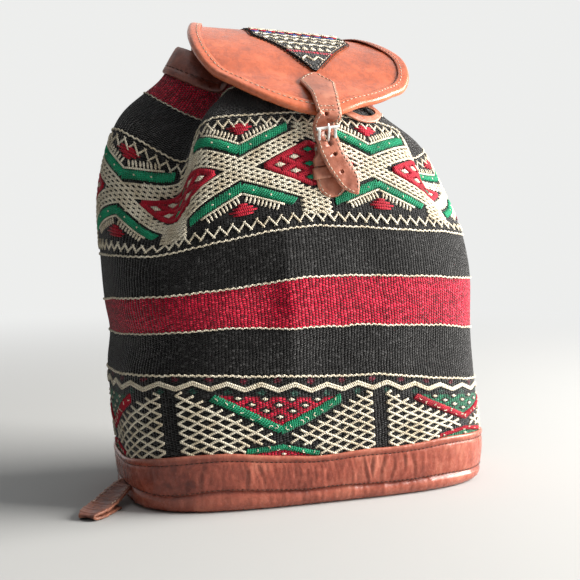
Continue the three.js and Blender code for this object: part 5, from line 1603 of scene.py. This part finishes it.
def makeLowerStrap(sideName, sign):
    settings = lowerStrapSet
    reach = float(cloth(180 if sign < 0 else 0, 10, 2.5)[0]) + sign * 0.3
    start = np.array([reach, -14.0 if sign < 0 else 30.0, 0])
    heading = sign * np.array([math.cos(settings["heading"]), math.sin(settings["heading"]), 0])
    square = np.array([-heading[1], heading[0], 0]) * settings["half"]
    rows = []
    for along, z, share in settings["path"]:
        rows.append([*(start + heading * along + [0, 0, z]), *(square * share)])
    # the lower straps take the darker hide, painted shade for the bag's shadow on them
    strap, centre, side, normal, half = makeStrip(
        "lower_strap_" + sideName, rows, settings["thick"], shadeDarkenedStrapHide, "bag", settings["count"],
        crumple=settings["crumple"], crown=settings["crown"])
    normal = facing(normal, 20, (0, 0, 1))
    stitches = edgeStitches(centre, side, normal, half, settings["thick"], 2.2, 6, 70, 4.0)
    layYarn("lower_strap_stitches_" + sideName, stitches, sewingThread, "bag")
    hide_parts("strap_lower_" + sideName)


for sideName, sign, axes in (("left", -1, leftFrame), ("right", 1, rightFrame)):
    makeShoulderStrap(sideName, sign, axes)
    makeLowerStrap(sideName, sign)
print("straps sewn")


# buckles: a wire loop swept round its frame, and a prong with an eye on the bar
buckleSet = {"closing": {"wire": 2.4, "inside": 20.5, "length": 13, "rise": 7.5},
             "shoulder": {"wire": 3, "inside": 27, "length": 17, "rise": 0}, "shank": 1.8, "corner": 0.0026}


def finishHardware(piece, name, axes, tilt, body, node):
    bpy.ops.object.mode_set(mode="OBJECT")
    bpy.ops.object.transform_apply(location=True, rotation=True, scale=True)
    piece.name = name
    piece.data.transform(placing(axes, axes[1]) @ Matrix.Rotation(tilt, 4, "X"))
    bpy.ops.object.shade_smooth_by_angle(angle=math.radians(50))
    piece.data.materials.append(buckleSteel)
    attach(piece, body)
    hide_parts(node)


def makeFrame(name, node, body, axes, settings):
    wire, inside, length, rise = settings.values()
    half, reach, corner = (inside + wire) / 2000, math.hypot(length, rise) / 1000, buckleSet["corner"]
    startPiece()
    bpy.ops.mesh.primitive_circle_add(vertices=14, radius=wire / 2000, rotation=(0, math.pi / 2, 0))
    piece = bpy.context.object
    editAll()
    place = Vector((0, 0, 0))
    heading = Vector((1, 0, 0))
    for run in (half - corner, reach - 2 * corner, 2 * (half - corner), reach - 2 * corner, half - corner):
        bpy.ops.mesh.extrude_region_move(TRANSFORM_OT_translate={"value": heading * run})
        place = place + heading * run
        if place.length < 1e-7:
            break
        left = Vector((-heading.y, heading.x, 0))
        bpy.ops.mesh.spin(steps=7, angle=math.pi / 2, center=place + left * corner, axis=(0, 0, 1))
        place = place + left * corner + heading * corner
        heading = left
    bpy.ops.mesh.select_all(action="SELECT")
    bpy.ops.mesh.remove_doubles(threshold=0.00001)
    bpy.ops.mesh.normals_make_consistent(inside=False)
    finishHardware(piece, name, axes, math.atan2(rise, length), body, node)


def makeProng(name, node, body, axes, settings):
    wire, length, rise, shank = settings["wire"], settings["length"], settings["rise"], buckleSet["shank"]
    eye = wire / 2 + 0.3
    startPiece()
    bpy.ops.mesh.primitive_torus_add(major_segments=32, minor_segments=12, major_radius=(eye + 0.63) / 1000,
                                     minor_radius=0.00063, rotation=(0, math.pi / 2, 0))
    piece = bpy.context.object
    bpy.ops.object.transform_apply(location=True, rotation=True, scale=True)
    rest = rise + wire / 2 + shank / 2 + 0.3
    path = [(eye * 0.9 + 0.5, eye * 0.6 + 0.4), (length * 0.3, rest * 0.4 + 0.6),
            (length * 0.6, rest * 0.75 + 0.2), (length * 0.85, rest * 0.97), (length, rest),
            (length + wire, rest)]
    path = [Vector((0, y / 1000, z / 1000)) for y, z in path]
    startPiece()
    bpy.ops.mesh.primitive_circle_add(vertices=12, radius=shank / 2000, fill_type="NGON", location=path[0],
                                      rotation=(-math.pi / 2, 0, 0))
    rod = bpy.context.object
    editAll()
    for here, ahead in zip(path[:-1], path[1:]):
        bpy.ops.mesh.extrude_region_move(TRANSFORM_OT_translate={"value": ahead - here})
    bpy.ops.transform.resize(value=(0.55, 0.55, 0.55))
    bpy.ops.mesh.select_all(action="SELECT")
    bpy.ops.mesh.normals_make_consistent(inside=False)
    bpy.ops.object.mode_set(mode="OBJECT")
    combine(piece, rod, "UNION", "EXACT")
    finishHardware(piece, name, axes, 0.0, body, node)


makeFrame("closing_buckle_frame", "closure_frame", "closure_buckle", closureFrame, buckleSet["closing"])
makeProng("closing_buckle_prong", "closure_prong", "closure_tongue", closureFrame, buckleSet["closing"])
for sideName, axes in (("left", leftFrame), ("right", rightFrame)):
    makeFrame("shoulder_buckle_frame_" + sideName, "strap_frame_" + sideName, sideName + "_buckle", axes,
              buckleSet["shoulder"])
    makeProng("shoulder_buckle_prong_" + sideName, "strap_prong_" + sideName, sideName + "_tongue", axes,
              buckleSet["shoulder"])
startPiece()
print("buckles made")

# pale floor that fades into a pale room, and soft light: a broad lamp on the right, one overhead, a weak one
# in front
stageSet = {"pale": (0.43, 0.435, 0.43), "size": 16.0, "fadeFrom": 0.2, "fadeTo": 1.4,
            "world": 0.03, "air": (0.98, 0.98, 1.0), "seen": (0.85, 0.855, 0.845)}
lampSet = [
    {"name": "key_light", "place": (1.95, -0.66, 1.03), "target": (0, 0, 0.18), "size": 1.5, "power": 195,
     "tint": (1, 0.97, 0.93)},
    {"name": "top_light", "place": (0.15, -0.1, 2.1), "target": (0.15, 0.1, 0), "size": 2.4, "power": 16,
     "tint": (1, 1, 1)},
    {"name": "fill_light", "place": (-0.9, -1.6, 1.0), "target": (0, 0, 0.2), "size": 1.5, "power": 1.2,
     "tint": (0.96, 0.98, 1)},
]


# 1 where a ray comes from the camera or a shiny surface, so both see the pale room
def seenRay(tree):
    sight = addNode(tree, "LightPath").outputs
    mirrored = mathNode(tree, "MAXIMUM", sight["Is Glossy Ray"], sight["Is Transmission Ray"])
    return mathNode(tree, "MAXIMUM", sight["Is Camera Ray"], mirrored)


def mixOutput(tree, share, plain, shown, output):
    mixed = addNode(tree, "MixShader", {0: share, 1: plain.outputs[0], 2: shown.outputs[0]})
    tree.links.new(mixed.outputs[0], tree.nodes[output].inputs["Surface"])


def makeStage():
    startPiece()
    bpy.ops.mesh.primitive_plane_add(size=stageSet["size"])
    floor = bpy.context.object
    floor.name = floor.data.name = "pale_floor"
    material, tree, shader = newMaterial("pale_floor")
    feedInputs(tree, shader, {"Base Color": (*stageSet["pale"], 1), "Roughness": 0.8})
    place = addNode(tree, "TexCoord").outputs["Object"]
    reach = addNode(tree, "VectorMath", {0: place}, operation="LENGTH").outputs["Value"]
    fading = {"Value": reach, "From Min": stageSet["fadeFrom"], "From Max": stageSet["fadeTo"]}
    fade = addNode(tree, "MapRange", fading, interpolation_type="SMOOTHSTEP").outputs[0]
    glow = addNode(tree, "Emission", {"Color": (*stageSet["seen"], 1)})
    mixOutput(tree, mathNode(tree, "MULTIPLY", fade, seenRay(tree)), shader, glow, "Material Output")
    floor.data.materials.append(material)
    world = bpy.data.worlds.new("studio")
    scene.world = world
    world.use_nodes = True
    tree = world.node_tree
    room = tree.nodes["Background"]
    feedInputs(tree, room, {"Color": (*stageSet["air"], 1), "Strength": stageSet["world"]})
    pale = addNode(tree, "Background", {"Color": (*stageSet["seen"], 1)})
    mixOutput(tree, seenRay(tree), room, pale, "World Output")
    for lamp in lampSet:
        data = bpy.data.lights.new(lamp["name"], "AREA")
        data.size = lamp["size"]
        data.energy = lamp["power"]
        data.color = lamp["tint"]
        item = bpy.data.objects.new(lamp["name"], data)
        scene.collection.objects.link(item)
        item.location = lamp["place"]
        aim = Vector(lamp["target"]) - Vector(lamp["place"])
        item.rotation_euler = aim.to_track_quat("-Z", "Y").to_euler()


makeStage()
